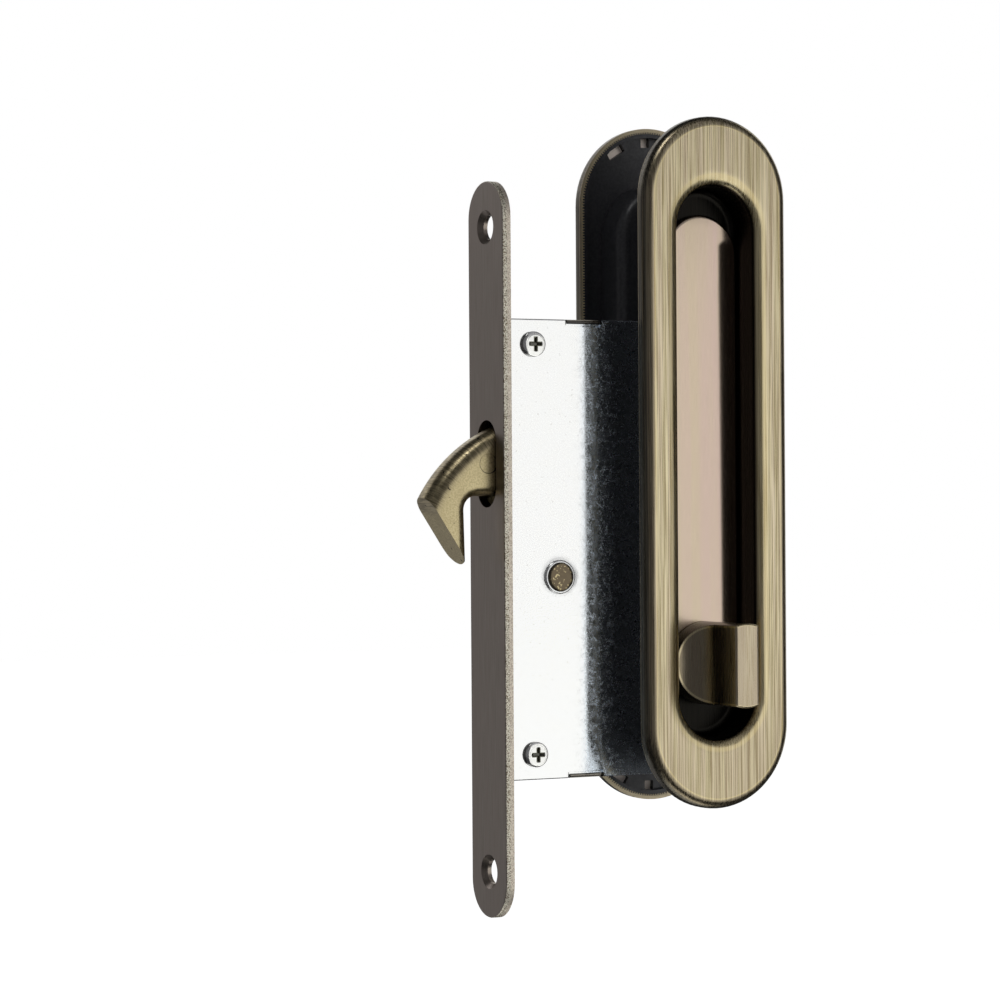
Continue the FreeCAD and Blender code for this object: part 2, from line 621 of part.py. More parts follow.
def pull_cover(front):
    """The pressed oval cover: flange, rolled rim, rounded lip and finger cup in one sheet."""
    skin = oval(PULL_LENGTH, PULL_WIDTH, FLANGE_BACK, FLANGE_FACE)
    skin = skin.makeFillet(RIM_ROUND, edges_at_y(skin, FLANGE_FACE))
    inside = PULL_SHEET * 2
    hollow = oval(PULL_LENGTH - inside, PULL_WIDTH - inside, FLANGE_BACK - OVERCUT,
                  FLANGE_FACE - PULL_SHEET)
    hollow = hollow.makeFillet(RIM_ROUND - PULL_SHEET, edges_at_y(hollow, FLANGE_FACE - PULL_SHEET))
    sheet = skin.cut(hollow)
    small = CUP_DRAFT * 2
    cup = oval(CUP_LENGTH + inside - small, CUP_WIDTH + inside - small, CUP_FLOOR_BACK, FLANGE_FACE - PULL_SHEET / 2,
               CUP_DRAFT)
    cup = cup.makeFillet(CUP_CORNER_ROUND + PULL_SHEET, edges_at_y(cup, CUP_FLOOR_BACK))
    sheet = sheet.fuse(cup)
    under = FLANGE_FACE - PULL_SHEET
    sheet = sheet.makeFillet(LIP_ROUND - PULL_SHEET, inner_edges_at_y(sheet, under, CUP_LENGTH + inside + small))
    cavity = oval(CUP_LENGTH - small, CUP_WIDTH - small, CUP_FLOOR, FLANGE_FACE, CUP_DRAFT)
    cavity = cavity.makeFillet(CUP_CORNER_ROUND, edges_at_y(cavity, CUP_FLOOR))
    sheet = sheet.cut(cavity)
    sheet = sheet.makeFillet(LIP_ROUND, inner_edges_at_y(sheet, FLANGE_FACE, CUP_LENGTH))
    sheet = sheet.cut(pull_floor_holes(0, FLANGE_FACE, CLAMP_NUT_R + FREE_GAP))
    return both_sides(sheet, front)


def web_window(end, angle, wide):
    """A window in the base's web, just inside its rim wall, at an angle round one end of the oval."""
    outer = PULL_WIDTH / 2 - PULL_SHEET - SEAT_GAP - BASE_WALL
    window = box(outer - BASE_WINDOW_REACH, outer, FLANGE_BACK, FLANGE_FACE, -wide / 2, wide / 2)
    window.rotate(V(0, 0, 0), V(0, 1, 0), -end * angle)
    window.translate(V(PULL_CENTRE_X, 0, PULL_CENTRE_Z + end * (PULL_LENGTH - PULL_WIDTH) / 2))
    return window


def pull_base(front):
    """The black moulded base behind a cover: a web with small windows, a rim wall and a deep tub."""
    rim_inset = 2 * (PULL_SHEET + SEAT_GAP)
    web_face = FLANGE_FACE - PULL_SHEET - SEAT_GAP
    web_back = web_face - BASE_WALL
    length, width = PULL_LENGTH - rim_inset, PULL_WIDTH - rim_inset
    web = oval(length, width, FLANGE_BACK, web_face)
    web = web.makeFillet(RIM_ROUND - PULL_SHEET, edges_at_y(web, web_face))
    inner = oval(length - 2 * BASE_WALL, width - 2 * BASE_WALL, FLANGE_BACK - OVERCUT, web_back)
    web = web.cut(inner)
    for end in (-1, 1):
        for angle, wide in BASE_WINDOWS:
            web = web.cut(web_window(end, angle, wide))
    gap = 2 * (PULL_SHEET + SEAT_GAP)
    small = CUP_DRAFT * 2
    tub_extra = gap + 2 * BASE_WALL
    tub = oval(CUP_LENGTH + tub_extra - small, CUP_WIDTH + tub_extra - small, CASE_FACE, web_back + BASE_WALL / 2,
               CUP_DRAFT)
    tub = tub.makeFillet(CUP_CORNER_ROUND + PULL_SHEET, edges_at_y(tub, CASE_FACE))
    web = web.fuse(tub)
    pocket = oval(CUP_LENGTH + gap - small, CUP_WIDTH + gap - small, CUP_FLOOR_BACK, FLANGE_FACE, CUP_DRAFT)
    pocket = pocket.makeFillet(CUP_CORNER_ROUND + PULL_SHEET, edges_at_y(pocket, CUP_FLOOR_BACK))
    base = web.cut(pocket)
    mouth = inner_edges_at_y(base, web_face, CUP_LENGTH + gap + OVERCUT)
    base = base.makeChamfer(LIP_ROUND - PULL_SHEET + 2 * SEAT_GAP, mouth)
    base = base.cut(pull_floor_holes(0, FLANGE_FACE, CLAMP_NUT_R + FREE_GAP))
    return both_sides(base, front)


def insert_plate(front):
    """The loose bright plate on the cup's floor, with edges turned down, which hides the screw heads."""
    plate = oval(INSERT_LENGTH, INSERT_WIDTH, CUP_FLOOR, INSERT_TOP)
    plate = plate.makeFillet(INSERT_ROUND, edges_at_y(plate, INSERT_TOP))
    thin = 2 * INSERT_SHEET
    under = INSERT_TOP - INSERT_SHEET
    hollow = oval(INSERT_LENGTH - thin, INSERT_WIDTH - thin, CUP_FLOOR - OVERCUT, under)
    hollow = hollow.makeFillet(INSERT_ROUND - INSERT_SHEET, edges_at_y(hollow, under))
    plate = plate.cut(hollow)
    plate = plate.cut(cylinder(TURN_X, TURN_Z, NECK_R + FREE_GAP, 0, FLANGE_FACE))
    return both_sides(plate, front)


def sleeve_nut(z):
    """The headed sleeve nut of a clamp screw, put in from the knob's side."""
    head_top = CUP_FLOOR + CLAMP_HEAD
    nut = cylinder(TURN_X, z, CLAMP_HEAD_R, CUP_FLOOR, head_top)
    nut = nut.fuse(cylinder(TURN_X, z, CLAMP_NUT_R, -CLAMP_LAP, CUP_FLOOR))
    nut = nut.cut(cylinder(TURN_X, z, CLAMP_SHANK_R + SEAT_GAP, -CLAMP_LAP, CASE_FACE))
    return both_sides(nut, True)


def clamp_screw(z):
    """The screw that draws both pulls against the case."""
    head_top = CUP_FLOOR + CLAMP_HEAD
    head = cylinder(TURN_X, z, CLAMP_HEAD_R, CUP_FLOOR, head_top)
    collar_part = cylinder(TURN_X, z, CLAMP_NUT_R, CLAMP_LAP + FREE_GAP, CUP_FLOOR)
    shank = cylinder(TURN_X, z, CLAMP_SHANK_R, -CASE_INNER, CUP_FLOOR)
    return head.fuse([collar_part, shank])


def build():
    """Write every sub-part."""
    save("faceplate", faceplate())
    save("case_tray", case_tray())
    save("case_cover", case_cover())
    for name, side in (("top", 1), ("bottom", -1)):
        save("cover_post_" + name, post(COVER_SCREW_X, side * COVER_SCREW_Z, True))
        save("end_post_" + name, post(END_POST_X, side * COVER_SCREW_Z, False))
        save("cover_screw_" + name, cover_screw(side))
    save("hook_bolt", hook_bolt())
    save("follower", follower())
    save("friction_washer", friction_washer())
    save("turn_spindle", spindle())
    save("thumb_turn", thumb_turn())
    save("rear_release", rear_release())
    for name, front in (("front", True), ("rear", False)):
        save(name + "_pull_cover", pull_cover(front))
        save(name + "_pull_base", pull_base(front))
        save(name + "_insert_plate", insert_plate(front))
        save(name + "_retaining_ring", retaining_ring(front))
    for name, z in (("upper", CLAMP_UPPER_Z), ("lower", CLAMP_LOWER_Z)):
        save("clamp_screw_" + name, clamp_screw(z))
        save("sleeve_nut_" + name, sleeve_nut(z))


build()
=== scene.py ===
# %% [markdown]
# # A pocket door lock with two oval flush pulls, dressed for the camera
# The solids of the lock come in ready made and stay exactly where they are. What this notebook adds
# is the look: the camera, the light, the brushed and cast and plated finishes, and a few small
# pieces that are too fine for the solids. The solids could be remodelled here from nothing, but
# then the looks and the mechanism could drift apart, so every finish below is laid on the solids
# themselves.

# %% Load the lock
import json
import math

import bpy
from mathutils import Matrix, Vector


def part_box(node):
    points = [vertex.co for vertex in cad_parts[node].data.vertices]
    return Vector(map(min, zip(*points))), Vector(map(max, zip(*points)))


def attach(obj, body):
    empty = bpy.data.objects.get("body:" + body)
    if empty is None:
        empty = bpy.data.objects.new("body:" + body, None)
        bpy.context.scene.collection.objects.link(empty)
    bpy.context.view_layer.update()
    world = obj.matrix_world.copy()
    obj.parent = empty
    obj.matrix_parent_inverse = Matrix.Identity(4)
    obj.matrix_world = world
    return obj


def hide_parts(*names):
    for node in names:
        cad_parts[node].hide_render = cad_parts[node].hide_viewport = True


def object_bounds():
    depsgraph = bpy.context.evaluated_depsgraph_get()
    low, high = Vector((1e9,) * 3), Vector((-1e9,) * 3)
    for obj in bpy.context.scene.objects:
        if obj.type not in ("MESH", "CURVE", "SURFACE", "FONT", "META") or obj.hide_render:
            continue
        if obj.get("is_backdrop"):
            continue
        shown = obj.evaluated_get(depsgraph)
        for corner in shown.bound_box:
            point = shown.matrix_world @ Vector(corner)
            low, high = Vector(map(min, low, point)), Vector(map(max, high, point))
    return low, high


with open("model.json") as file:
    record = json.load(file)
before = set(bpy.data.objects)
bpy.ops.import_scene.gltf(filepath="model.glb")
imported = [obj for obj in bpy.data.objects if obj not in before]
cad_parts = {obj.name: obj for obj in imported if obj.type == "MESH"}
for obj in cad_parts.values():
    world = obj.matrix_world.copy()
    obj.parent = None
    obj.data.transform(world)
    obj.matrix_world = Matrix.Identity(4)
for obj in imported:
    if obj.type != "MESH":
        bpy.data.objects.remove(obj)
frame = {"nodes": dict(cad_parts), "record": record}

MM = 0.001
nodes = frame["nodes"]
solid_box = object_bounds()

# %% [markdown]
# ## Sizes that the finishes follow
# A brushed oval plate is polished along its rim and its lip, so the finish has to know where they
# are. The sizes could be typed in again, but most can be read from the boxes round the solids, and
# then they always agree. All of them are kept in millimetres, because the finishes work in
# millimetres.

# %% Read the places from the solids
def in_mm(node):
    """The lowest and highest corner of a solid, in millimetres."""
    low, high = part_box(node)
    return low / MM, high / MM


BASE_RISE = 2.65
cover_low, cover_high = in_mm("rear_pull_cover")
knob_low, knob_high = in_mm("thumb_turn")
plate_high = in_mm("faceplate")[1]
screw_low, screw_high = in_mm("cover_screw_top")
PULL_X, PULL_Z = (cover_low.x + cover_high.x) / 2, (cover_low.z + cover_high.z) / 2
PULL_HALF = (cover_high.x - cover_low.x) / 2
PULL_STRAIGHT = (cover_high.z - cover_low.z) / 2 - PULL_HALF
FLANGE_FACE = cover_high.y
FLANGE_BACK = in_mm("rear_pull_base")[1].y - BASE_RISE
KNOB_X, KNOB_Z = (knob_low.x + knob_high.x) / 2, (knob_low.z + knob_high.z) / 2
KNOB_R = (knob_high.x - knob_low.x) / 2
PLATE_STRAIGHT = plate_high.z - plate_high.y
SCREW_X, SCREW_Z = (screw_low.x + screw_high.x) / 2, (screw_low.z + screw_high.z) / 2
SCREW_FACE = screw_low.y
print("pull centre", round(PULL_X, 2), round(PULL_Z, 2), "half width", round(PULL_HALF, 2))
print("flange face", round(FLANGE_FACE, 2), "and back", round(FLANGE_BACK, 2))

# %% Sizes that no box tells
CUP_HALF = 9.9
CUP_STRAIGHT = 51.1
LIP_END = CUP_HALF + 1.9
RIM_START = PULL_HALF - 2.2
CUP_SHADE = (9.4, 10.4)
HOOK_PIVOT = (14.5, 0, -6.1)
HOOK_BACK = 35.2
MOULD_MARK = (-1.6, 0, 18.6)
MOULD_MARK_R = 2.1
JOURNAL_R = 3.6
JOURNAL_FACE = -5.8
# Centre of the painted shadow on the journal's end
GAP_SHADOW_CENTRE = (15.3, 0, -6.1)
TONGUE_START, TONGUE_END, TONGUE_FOOT = 17.2, 25.1, 49.0
DARK_START, DARK_END = 22.0, 44.0
print("lip from", CUP_HALF, "to", LIP_END, "mm, rim from", round(RIM_START, 2), "mm")

# %% [markdown]
# ## Camera
# The lock is seen from its front left, level, through a long lens. The viewpoint could be found by
# eye, but it was worked out from the places of about thirty corners, so it is set here as plain
# numbers: how far the camera is turned, how far away it stands, and a very small tilt.

# %% Set up the camera
VIEW_TURN = math.radians(28)
VIEW_DISTANCE = 727.3 * MM
VIEW_ASIDE = 2.861 * MM
VIEW_HEIGHT = 10.74 * MM
VIEW_TILT = -0.0065
LENS, SENSOR = 120.5, 36
forward = Vector((math.sin(VIEW_TURN), math.cos(VIEW_TURN), 0))
rightward = Vector((math.cos(VIEW_TURN), -math.sin(VIEW_TURN), 0))
camera_data = bpy.data.cameras.new("photo_camera")
camera_data.sensor_width = SENSOR
camera_data.lens = LENS
camera_data.clip_start = 0.01
camera = bpy.data.objects.new("photo_camera", camera_data)
bpy.context.scene.collection.objects.link(camera)
place = rightward * VIEW_ASIDE + Vector((0, 0, VIEW_HEIGHT)) - forward * VIEW_DISTANCE
level = Matrix.Rotation(-VIEW_TURN, 4, "Z") @ Matrix.Rotation(math.pi / 2, 4, "X")
camera.matrix_world = Matrix.Translation(place) @ level @ Matrix.Rotation(VIEW_TILT, 4, "Z")
bpy.context.scene.camera = camera
bpy.context.scene.view_settings.view_transform = "Standard"
print("camera at", [round(v, 4) for v in place])

# %% [markdown]
# ## A short way to write nodes
# A material is a small network of nodes. Each node could be added and joined in three or four
# lines, but a helper that adds one node, sets its inputs and joins its links in a single line keeps
# every recipe short enough to read.

# %% Node helpers
def fill(tree, socket, value):
    """Give a socket a link, a number or a colour."""
    if isinstance(value, bpy.types.NodeSocket):
        tree.links.new(value, socket)
    elif socket.type == "RGBA" and len(value) == 3:
        socket.default_value = (*value, 1)
    else:
        socket.default_value = value


def add_node(tree, kind, inputs=None, **settings):
    """Add a node, apply its settings and fill its inputs."""
    made = tree.nodes.new(kind)
    for name, value in settings.items():
        setattr(made, name, value)
    for name, value in (inputs or {}).items():
        fill(tree, made.inputs[name], value)
    return made


def math_node(tree, operation, first, second=0.0):
    """One sum, product or comparison of two values."""
    return add_node(tree, "ShaderNodeMath", {0: first, 1: second}, operation=operation).outputs[0]


def times(tree, first, second):
    """The product of two values."""
    return math_node(tree, "MULTIPLY", first, second)


def plus(tree, first, second):
    """The sum of two values."""
    return math_node(tree, "ADD", first, second)


def ramp_between(tree, value, low, high, to_low=0.0, to_high=1.0):
    """A smooth step: to_low below low, to_high above high."""
    made = add_node(tree, "ShaderNodeMapRange", {
        "Value": value, "From Min": low, "From Max": high, "To Min": to_low, "To Max": to_high})
    made.interpolation_type = "SMOOTHSTEP"
    return made.outputs["Result"]


def ramp_down(tree, value, low, high):
    """A smooth step from one, below low, to nought, above high."""
    return ramp_between(tree, value, low, high, 1.0, 0.0)


def mix_colour(tree, factor, first, second):
    """Two colours mixed by a factor."""
    made = add_node(tree, "ShaderNodeMix", data_type="RGBA")
    for number, value in ((0, factor), (6, first), (7, second)):
        fill(tree, made.inputs[number], value)
    return made.outputs[2]


def noise(tree, vector, scale, detail=3.0, roughness=0.55):
    """Soft random clouds between 0 and 1."""
    return add_node(tree, "ShaderNodeTexNoise", {
        "Vector": vector, "Scale": scale, "Detail": detail, "Roughness": roughness}).outputs[0]


def vector_node(tree, operation, first, second):
    """One sum, difference or product of two vectors, axis by axis."""
    return add_node(tree, "ShaderNodeVectorMath", {0: first, 1: second}, operation=operation).outputs[0]


def stretched(tree, vector, stretch):
    """A place multiplied axis by axis, which stretches the pattern that reads it."""
    return vector_node(tree, "MULTIPLY", vector, stretch)


def scaled(tree, vector, factor):
    """A vector made longer or shorter by one value."""
    return add_node(tree, "ShaderNodeVectorMath", {0: vector, "Scale": factor}, operation="SCALE").outputs[0]


def axes_of(tree, vector):
    """The three numbers of a vector."""
    return add_node(tree, "ShaderNodeSeparateXYZ", {0: vector}).outputs


def vector_of(tree, **axes):
    """A vector from the axes that are named. The others stay nought."""
    return add_node(tree, "ShaderNodeCombineXYZ", axes).outputs[0]


print("node helpers ready")

# %% [markdown]
# ## Shared effects
# Brushing, hairline scratches, cast skin and bands along an oval turn up in several finishes. Each
# could be rebuilt in every material, but a node group is built once and used with its own values in
# each, so a change to the effect reaches all of them.

# %% Helpers that open and place a node group
FLOAT, VECTOR = "NodeSocketFloat", "NodeSocketVector"


def open_group(name, inputs, outputs, directions=()):
    """A shader node group with named inputs, outputs and, where it has any, directions."""
    group = bpy.data.node_groups.new(name, "ShaderNodeTree")
    for label, kind, value in inputs:
        group.interface.new_socket(name=label, in_out="INPUT", socket_type=kind).default_value = value
    for label in outputs:
        group.interface.new_socket(name=label, in_out="OUTPUT", socket_type=FLOAT)
    for label in directions:
        group.interface.new_socket(name=label, in_out="OUTPUT", socket_type=VECTOR)
    entry = group.nodes.new("NodeGroupInput")
    leave = group.nodes.new("NodeGroupOutput")
    return group, entry.outputs, leave.inputs


def use_group(tree, group, inputs):
    """Place a group in a material."""
    made = tree.nodes.new("ShaderNodeGroup")
    made.node_tree = group
    for name, value in inputs.items():
        fill(tree, made.inputs[name], value)
    return made.outputs


print("group helpers ready")

# %% Brushed grain: fine streaks, broad bands and their height
brushed, g_in, g_out = open_group(
    "brushed_grain",
    [("Place", VECTOR, (0, 0, 0)), ("Stretch", VECTOR, (3, 3, 0.2)),
     ("Band Stretch", VECTOR, (1, 1, 0.05))],
    ["Streaks", "Bands", "Height"])
streak_noise = noise(brushed, stretched(brushed, g_in["Place"], g_in["Stretch"]), 1.0, 2.0, 0.6)
band_noise = noise(brushed, stretched(brushed, g_in["Place"], g_in["Band Stretch"]), 1.0, 2.0, 0.5)
fill(brushed, g_out["Streaks"], ramp_between(brushed, streak_noise, 0.33, 0.67))
fill(brushed, g_out["Bands"], ramp_between(brushed, band_noise, 0.36, 0.64))
fill(brushed, g_out["Height"], streak_noise)
print("brushed grain ready")

# %% Distance from the middle line of an oval
oval, g_in, g_out = open_group(
    "oval_distance",
    [("Place", VECTOR, (0, 0, 0)), ("Centre", VECTOR, (0, 0, 0)), ("Straight", FLOAT, 1.0)],
    ["Distance", "Depth"], ["Outward"])
offset = vector_node(oval, "SUBTRACT", g_in["Place"], g_in["Centre"])
split = axes_of(oval, offset)
past_straight = math_node(oval, "SUBTRACT", math_node(oval, "ABSOLUTE", split["Z"]), g_in["Straight"])
past_straight = math_node(oval, "MAXIMUM", past_straight, 0.0)
flat_place = vector_of(oval, X=split["X"], Z=past_straight)
length = add_node(oval, "ShaderNodeVectorMath", {0: flat_place}, operation="LENGTH").outputs["Value"]
fill(oval, g_out["Distance"], length)
fill(oval, g_out["Depth"], math_node(oval, "ABSOLUTE", split["Y"]))
outward = vector_of(oval, X=split["X"], Z=times(oval, past_straight, math_node(oval, "SIGN", split["Z"])))
outward = add_node(oval, "ShaderNodeVectorMath", {0: outward}, operation="NORMALIZE").outputs[0]
fill(oval, g_out["Outward"], outward)
print("oval distance ready")

# %% A band between two values, with soft edges
band, g_in, g_out = open_group(
    "soft_band",
    [("Value", FLOAT, 0.0), ("Start", FLOAT, 0.0), ("End", FLOAT, 1.0), ("Soft", FLOAT, 0.1)],
    ["Mask"])
before = math_node(band, "SUBTRACT", g_in["Start"], g_in["Soft"])
rise = ramp_between(band, g_in["Value"], before, g_in["Start"])
fall = ramp_down(band, g_in["Value"], g_in["End"], plus(band, g_in["End"], g_in["Soft"]))
fill(band, g_out["Mask"], times(band, rise, fall))


def band_mask(tree, value, start, end, soft):
    """One from start to end, fading to nought over the soft width on both sides."""
    return use_group(tree, band, {"Value": value, "Start": start, "End": end, "Soft": soft})["Mask"]


print("soft band ready")

# %% Hairline scratches: peaks of a noise that is drawn out in three directions
scratched, g_in, g_out = open_group(
    "hairline_scratches", [("Place", VECTOR, (0, 0, 0)), ("Limit", FLOAT, 0.72)], ["Lines"])
lines = 0.0
for turn, length in ((0.45, 0.16), (1.5, 0.22), (2.7, 0.12)):
    turned = add_node(scratched, "ShaderNodeMapping", {"Vector": g_in["Place"], "Rotation": (0, turn, 0)})
    line = noise(scratched, stretched(scratched, turned.outputs[0], (5.0, 1.0, length)), 1.0, 0.0)
    line = ramp_between(scratched, line, g_in["Limit"], plus(scratched, g_in["Limit"], 0.05))
    lines = math_node(scratched, "MAXIMUM", lines, line)
fill(scratched, g_out["Lines"], lines)
print("scratches ready")

# %% Cast skin: fine speckle and a soft unevenness
cast, g_in, g_out = open_group(
    "cast_skin",
    [("Place", VECTOR, (0, 0, 0)), ("Grain Size", FLOAT, 0.3)],
    ["Speckle", "Height", "Cloud"])
per_mm = math_node(cast, "DIVIDE", 1.0, g_in["Grain Size"])
grain = noise(cast, g_in["Place"], per_mm, 3.0, 0.5)
fill(cast, g_out["Speckle"], ramp_between(cast, grain, 0.36, 0.66))
fill(cast, g_out["Height"], grain)
slow = noise(cast, g_in["Place"], 0.35, 2.0, 0.5)
fill(cast, g_out["Cloud"], ramp_between(cast, slow, 0.3, 0.7))
print("cast skin ready")

# %% Helpers that start and end a material
def centred_oval(tree, place_mm, centre, straight=0.0):
    """Distance, depth and outward direction round an oval, or round a point if it has no straight part."""
    return use_group(tree, oval, {"Place": place_mm, "Centre": centre, "Straight": straight})


def start_finish(name, metallic):
    """A material with one Principled shader, and the point on the lock in millimetres."""
    finish = bpy.data.materials.new(name)
    finish.use_nodes = True
    tree = finish.node_tree
    shader = tree.nodes["Principled BSDF"]
    shader.inputs["Metallic"].default_value = metallic
    here = add_node(tree, "ShaderNodeTexCoord").outputs["Object"]
    return finish, tree, shader, stretched(tree, here, (1 / MM, 1 / MM, 1 / MM))


def finish_surface(tree, shader, colour, roughness, height, rise, normal=None):
    """Join colour, roughness and the height of the surface, in millimetres, to the shader."""
    fill(tree, shader.inputs["Base Color"], colour)
    fill(tree, shader.inputs["Roughness"], roughness)
    bump = add_node(tree, "ShaderNodeBump", {"Height": height, "Strength": 1.0, "Distance": rise * MM})
    if normal is not None:
        fill(tree, bump.inputs["Normal"], normal)
    fill(tree, shader.inputs["Normal"], bump.outputs[0])


def leaning(tree, lean):
    """The surface's normal, leaned over by a small vector."""
    upright = add_node(tree, "ShaderNodeNewGeometry").outputs["Normal"]
    leaned = vector_node(tree, "ADD", upright, lean)
    return add_node(tree, "ShaderNodeVectorMath", {0: leaned}, operation="NORMALIZE").outputs[0]


print("finish helpers ready")

# %% [markdown]
# ## Antique bronze on the pressed covers
# The real covers are plated, darkened and then brushed up and down, and the dark skin is rubbed
# through along the rim and the lip, where it shines yellow. In the cup, where no brush reaches, it
# keeps a dark patina, which painted shade makes nearly black towards the floor. Painted shade also
# darkens the rim's rounding and side. The rubbed edges could be found from the sharpness of the
# mesh, but this skin follows two ovals, the rim's and the cup's, so the distance from each oval's
# middle line decides it.

# %% Tones of the covers, each pair from the dark lines of the brushing to the light ones
YELLOW_PAIR = (0.29, 0.235, 0.125), (0.84, 0.74, 0.48)
PINK_PAIR = (0.33, 0.26, 0.17), (0.82, 0.70, 0.51)
GOLD_PAIR = (0.50, 0.40, 0.20), (0.86, 0.74, 0.45)
ROUNDING_SHADE_PAIR = (0.20, 0.165, 0.11), (0.42, 0.35, 0.23)
SIDE_SHADE_PAIR = (0.075, 0.07, 0.055), (0.17, 0.155, 0.12)
CUP_WALL, CUP_FLOOR_SHADE = (0.045, 0.038, 0.031), (0.006, 0.006, 0.006)
FOOT_TONE = (0.36, 0.295, 0.18)
BACK_EDGE_TONE = (0.80, 0.70, 0.50)
BARE_TONE = (0.80, 0.70, 0.62)
print("tones of the covers named")

# %% Brushed base of the covers
pull_bronze, tree, shader, place_mm = start_finish("pull_bronze", 1.0)
streaks = use_group(tree, brushed, {
    "Place": place_mm, "Stretch": (5.2, 2.6, 0.045), "Band Stretch": (0.7, 0.3, 0.012)})
rim = centred_oval(tree, place_mm, (PULL_X, 0, PULL_Z), PULL_STRAIGHT)
cup = centred_oval(tree, place_mm, (PULL_X, 0, PULL_Z), CUP_STRAIGHT)
from_rim, from_cup, depth = rim["Distance"], cup["Distance"], rim["Depth"]
yellow = mix_colour(tree, streaks["Streaks"], *YELLOW_PAIR)
pink = mix_colour(tree, streaks["Streaks"], *PINK_PAIR)
colour = mix_colour(tree, times(tree, streaks["Bands"], 0.8), yellow, pink)
print("brushed base mixed")

# %% A darker foot, rubbed edges, and painted shade on the rounding and side
up = axes_of(tree, place_mm)["Z"]
colour = mix_colour(tree, ramp_between(tree, up, -50, -10, 0.22, 0.0), colour, FOOT_TONE)
along_rim = band_mask(tree, from_rim, RIM_START - 0.1, RIM_START + 0.05, 0.15)
along_lip = band_mask(tree, from_cup, CUP_HALF + 0.5, LIP_END + 0.4, 0.7)
rubbed = math_node(tree, "MAXIMUM", along_rim, along_lip)
gold = mix_colour(tree, streaks["Streaks"], *GOLD_PAIR)
colour = mix_colour(tree, times(tree, rubbed, 0.75), colour, gold)
# Painted shade on the rim's rounding, weaker where it faces up
rounding = ramp_between(tree, from_rim, RIM_START + 0.1, RIM_START + 0.45)
at_top = axes_of(tree, rim["Outward"])["Z"]
rounding = times(tree, rounding, ramp_between(tree, at_top, 0.2, 0.9, 1.0, 0.3))
rounding_shade_tone = mix_colour(tree, streaks["Streaks"], *ROUNDING_SHADE_PAIR)
colour = mix_colour(tree, times(tree, rounding, 0.85), colour, rounding_shade_tone)
# Painted shade on the rim's side
side = ramp_between(tree, from_rim, PULL_HALF - 0.75, PULL_HALF - 0.35)
side_shade_tone = mix_colour(tree, streaks["Streaks"], *SIDE_SHADE_PAIR)
colour = mix_colour(tree, times(tree, side, 0.9), colour, side_shade_tone)
print("edges rubbed")

# %% The cup's dark patina and painted shade, the bright back edge and the bare inside
in_cup = ramp_down(tree, from_cup, CUP_HALF, CUP_HALF + 0.6)
# Dark patina on the cup's wall, turned nearly black towards the floor by painted shade
cup_patina_and_shade = mix_colour(tree, ramp_down(tree, depth, *CUP_SHADE), CUP_WALL, CUP_FLOOR_SHADE)
colour = mix_colour(tree, times(tree, in_cup, 0.99), colour, cup_patina_and_shade)
back_edge = times(tree, ramp_down(tree, depth, FLANGE_BACK + 0.06, FLANGE_BACK + 0.13),
                  ramp_between(tree, from_rim, PULL_HALF - 1.65, PULL_HALF - 1.35))
colour = mix_colour(tree, back_edge, colour, BACK_EDGE_TONE)
inside = times(tree, ramp_down(tree, depth, FLANGE_FACE - 0.6, FLANGE_FACE - 0.4),
               ramp_between(tree, from_cup, LIP_END + 0.2, LIP_END + 0.5))
inside = times(tree, inside, ramp_down(tree, from_rim, PULL_HALF - 1.35, PULL_HALF - 1.15))
colour = mix_colour(tree, inside, colour, BARE_TONE)
print("cup and inside coloured")

# %% Roughness, and a flange that leans a little into the cup along its lip
rough = plus(tree, times(tree, streaks["Streaks"], 0.10), 0.25)
rough = plus(tree, rough, times(tree, inside, 0.5))
rough = plus(tree, rough, times(tree, back_edge, 0.3))
towards_lip = band_mask(tree, from_cup, LIP_END - 0.2, LIP_END + 0.2, 1.5)
inward = scaled(tree, stretched(tree, cup["Outward"], (-0.16, 0, -0.19)), towards_lip)
fill(tree, shader.inputs["Metallic"], ramp_between(tree, inside, 0.0, 1.0, 1.0, 0.1))
brushed_height = times(tree, streaks["Height"], ramp_between(tree, towards_lip, 0.0, 1.0, 1.0, 0.25))
finish_surface(tree, shader, colour, rough, brushed_height, 0.016, leaning(tree, inward))
print("covers finished")

# %% [markdown]
# ## Knob and release
# The knob wears the same bronze as the covers, brushed along its ridge, with painted shade in its scoops.
# Its thin rim round the scoops is rubbed to a bright line by thumbs. The line lies at one distance
# from the knob's axis, so that distance draws it.

# %% Finish of the knob and the release
KNOB_PAIR = (0.38, 0.31, 0.20), (0.66, 0.57, 0.40)
KNOB_BAND_TONE = (0.47, 0.39, 0.29)
SCOOP_SHADE_TONE = (0.10, 0.082, 0.055)
RUBBED_LINE_TONE = (0.80, 0.68, 0.42)
BELOW_RIM_TONE = (0.12, 0.10, 0.075)
knob_bronze, tree, shader, place_mm = start_finish("knob_bronze", 1.0)
streaks = use_group(tree, brushed, {
    "Place": place_mm, "Stretch": (6.0, 6.0, 0.10), "Band Stretch": (0.5, 0.5, 0.02)})
disc = centred_oval(tree, place_mm, (KNOB_X, 0, KNOB_Z))
colour = mix_colour(tree, streaks["Streaks"], *KNOB_PAIR)
colour = mix_colour(tree, times(tree, streaks["Bands"], 0.5), colour, KNOB_BAND_TONE)
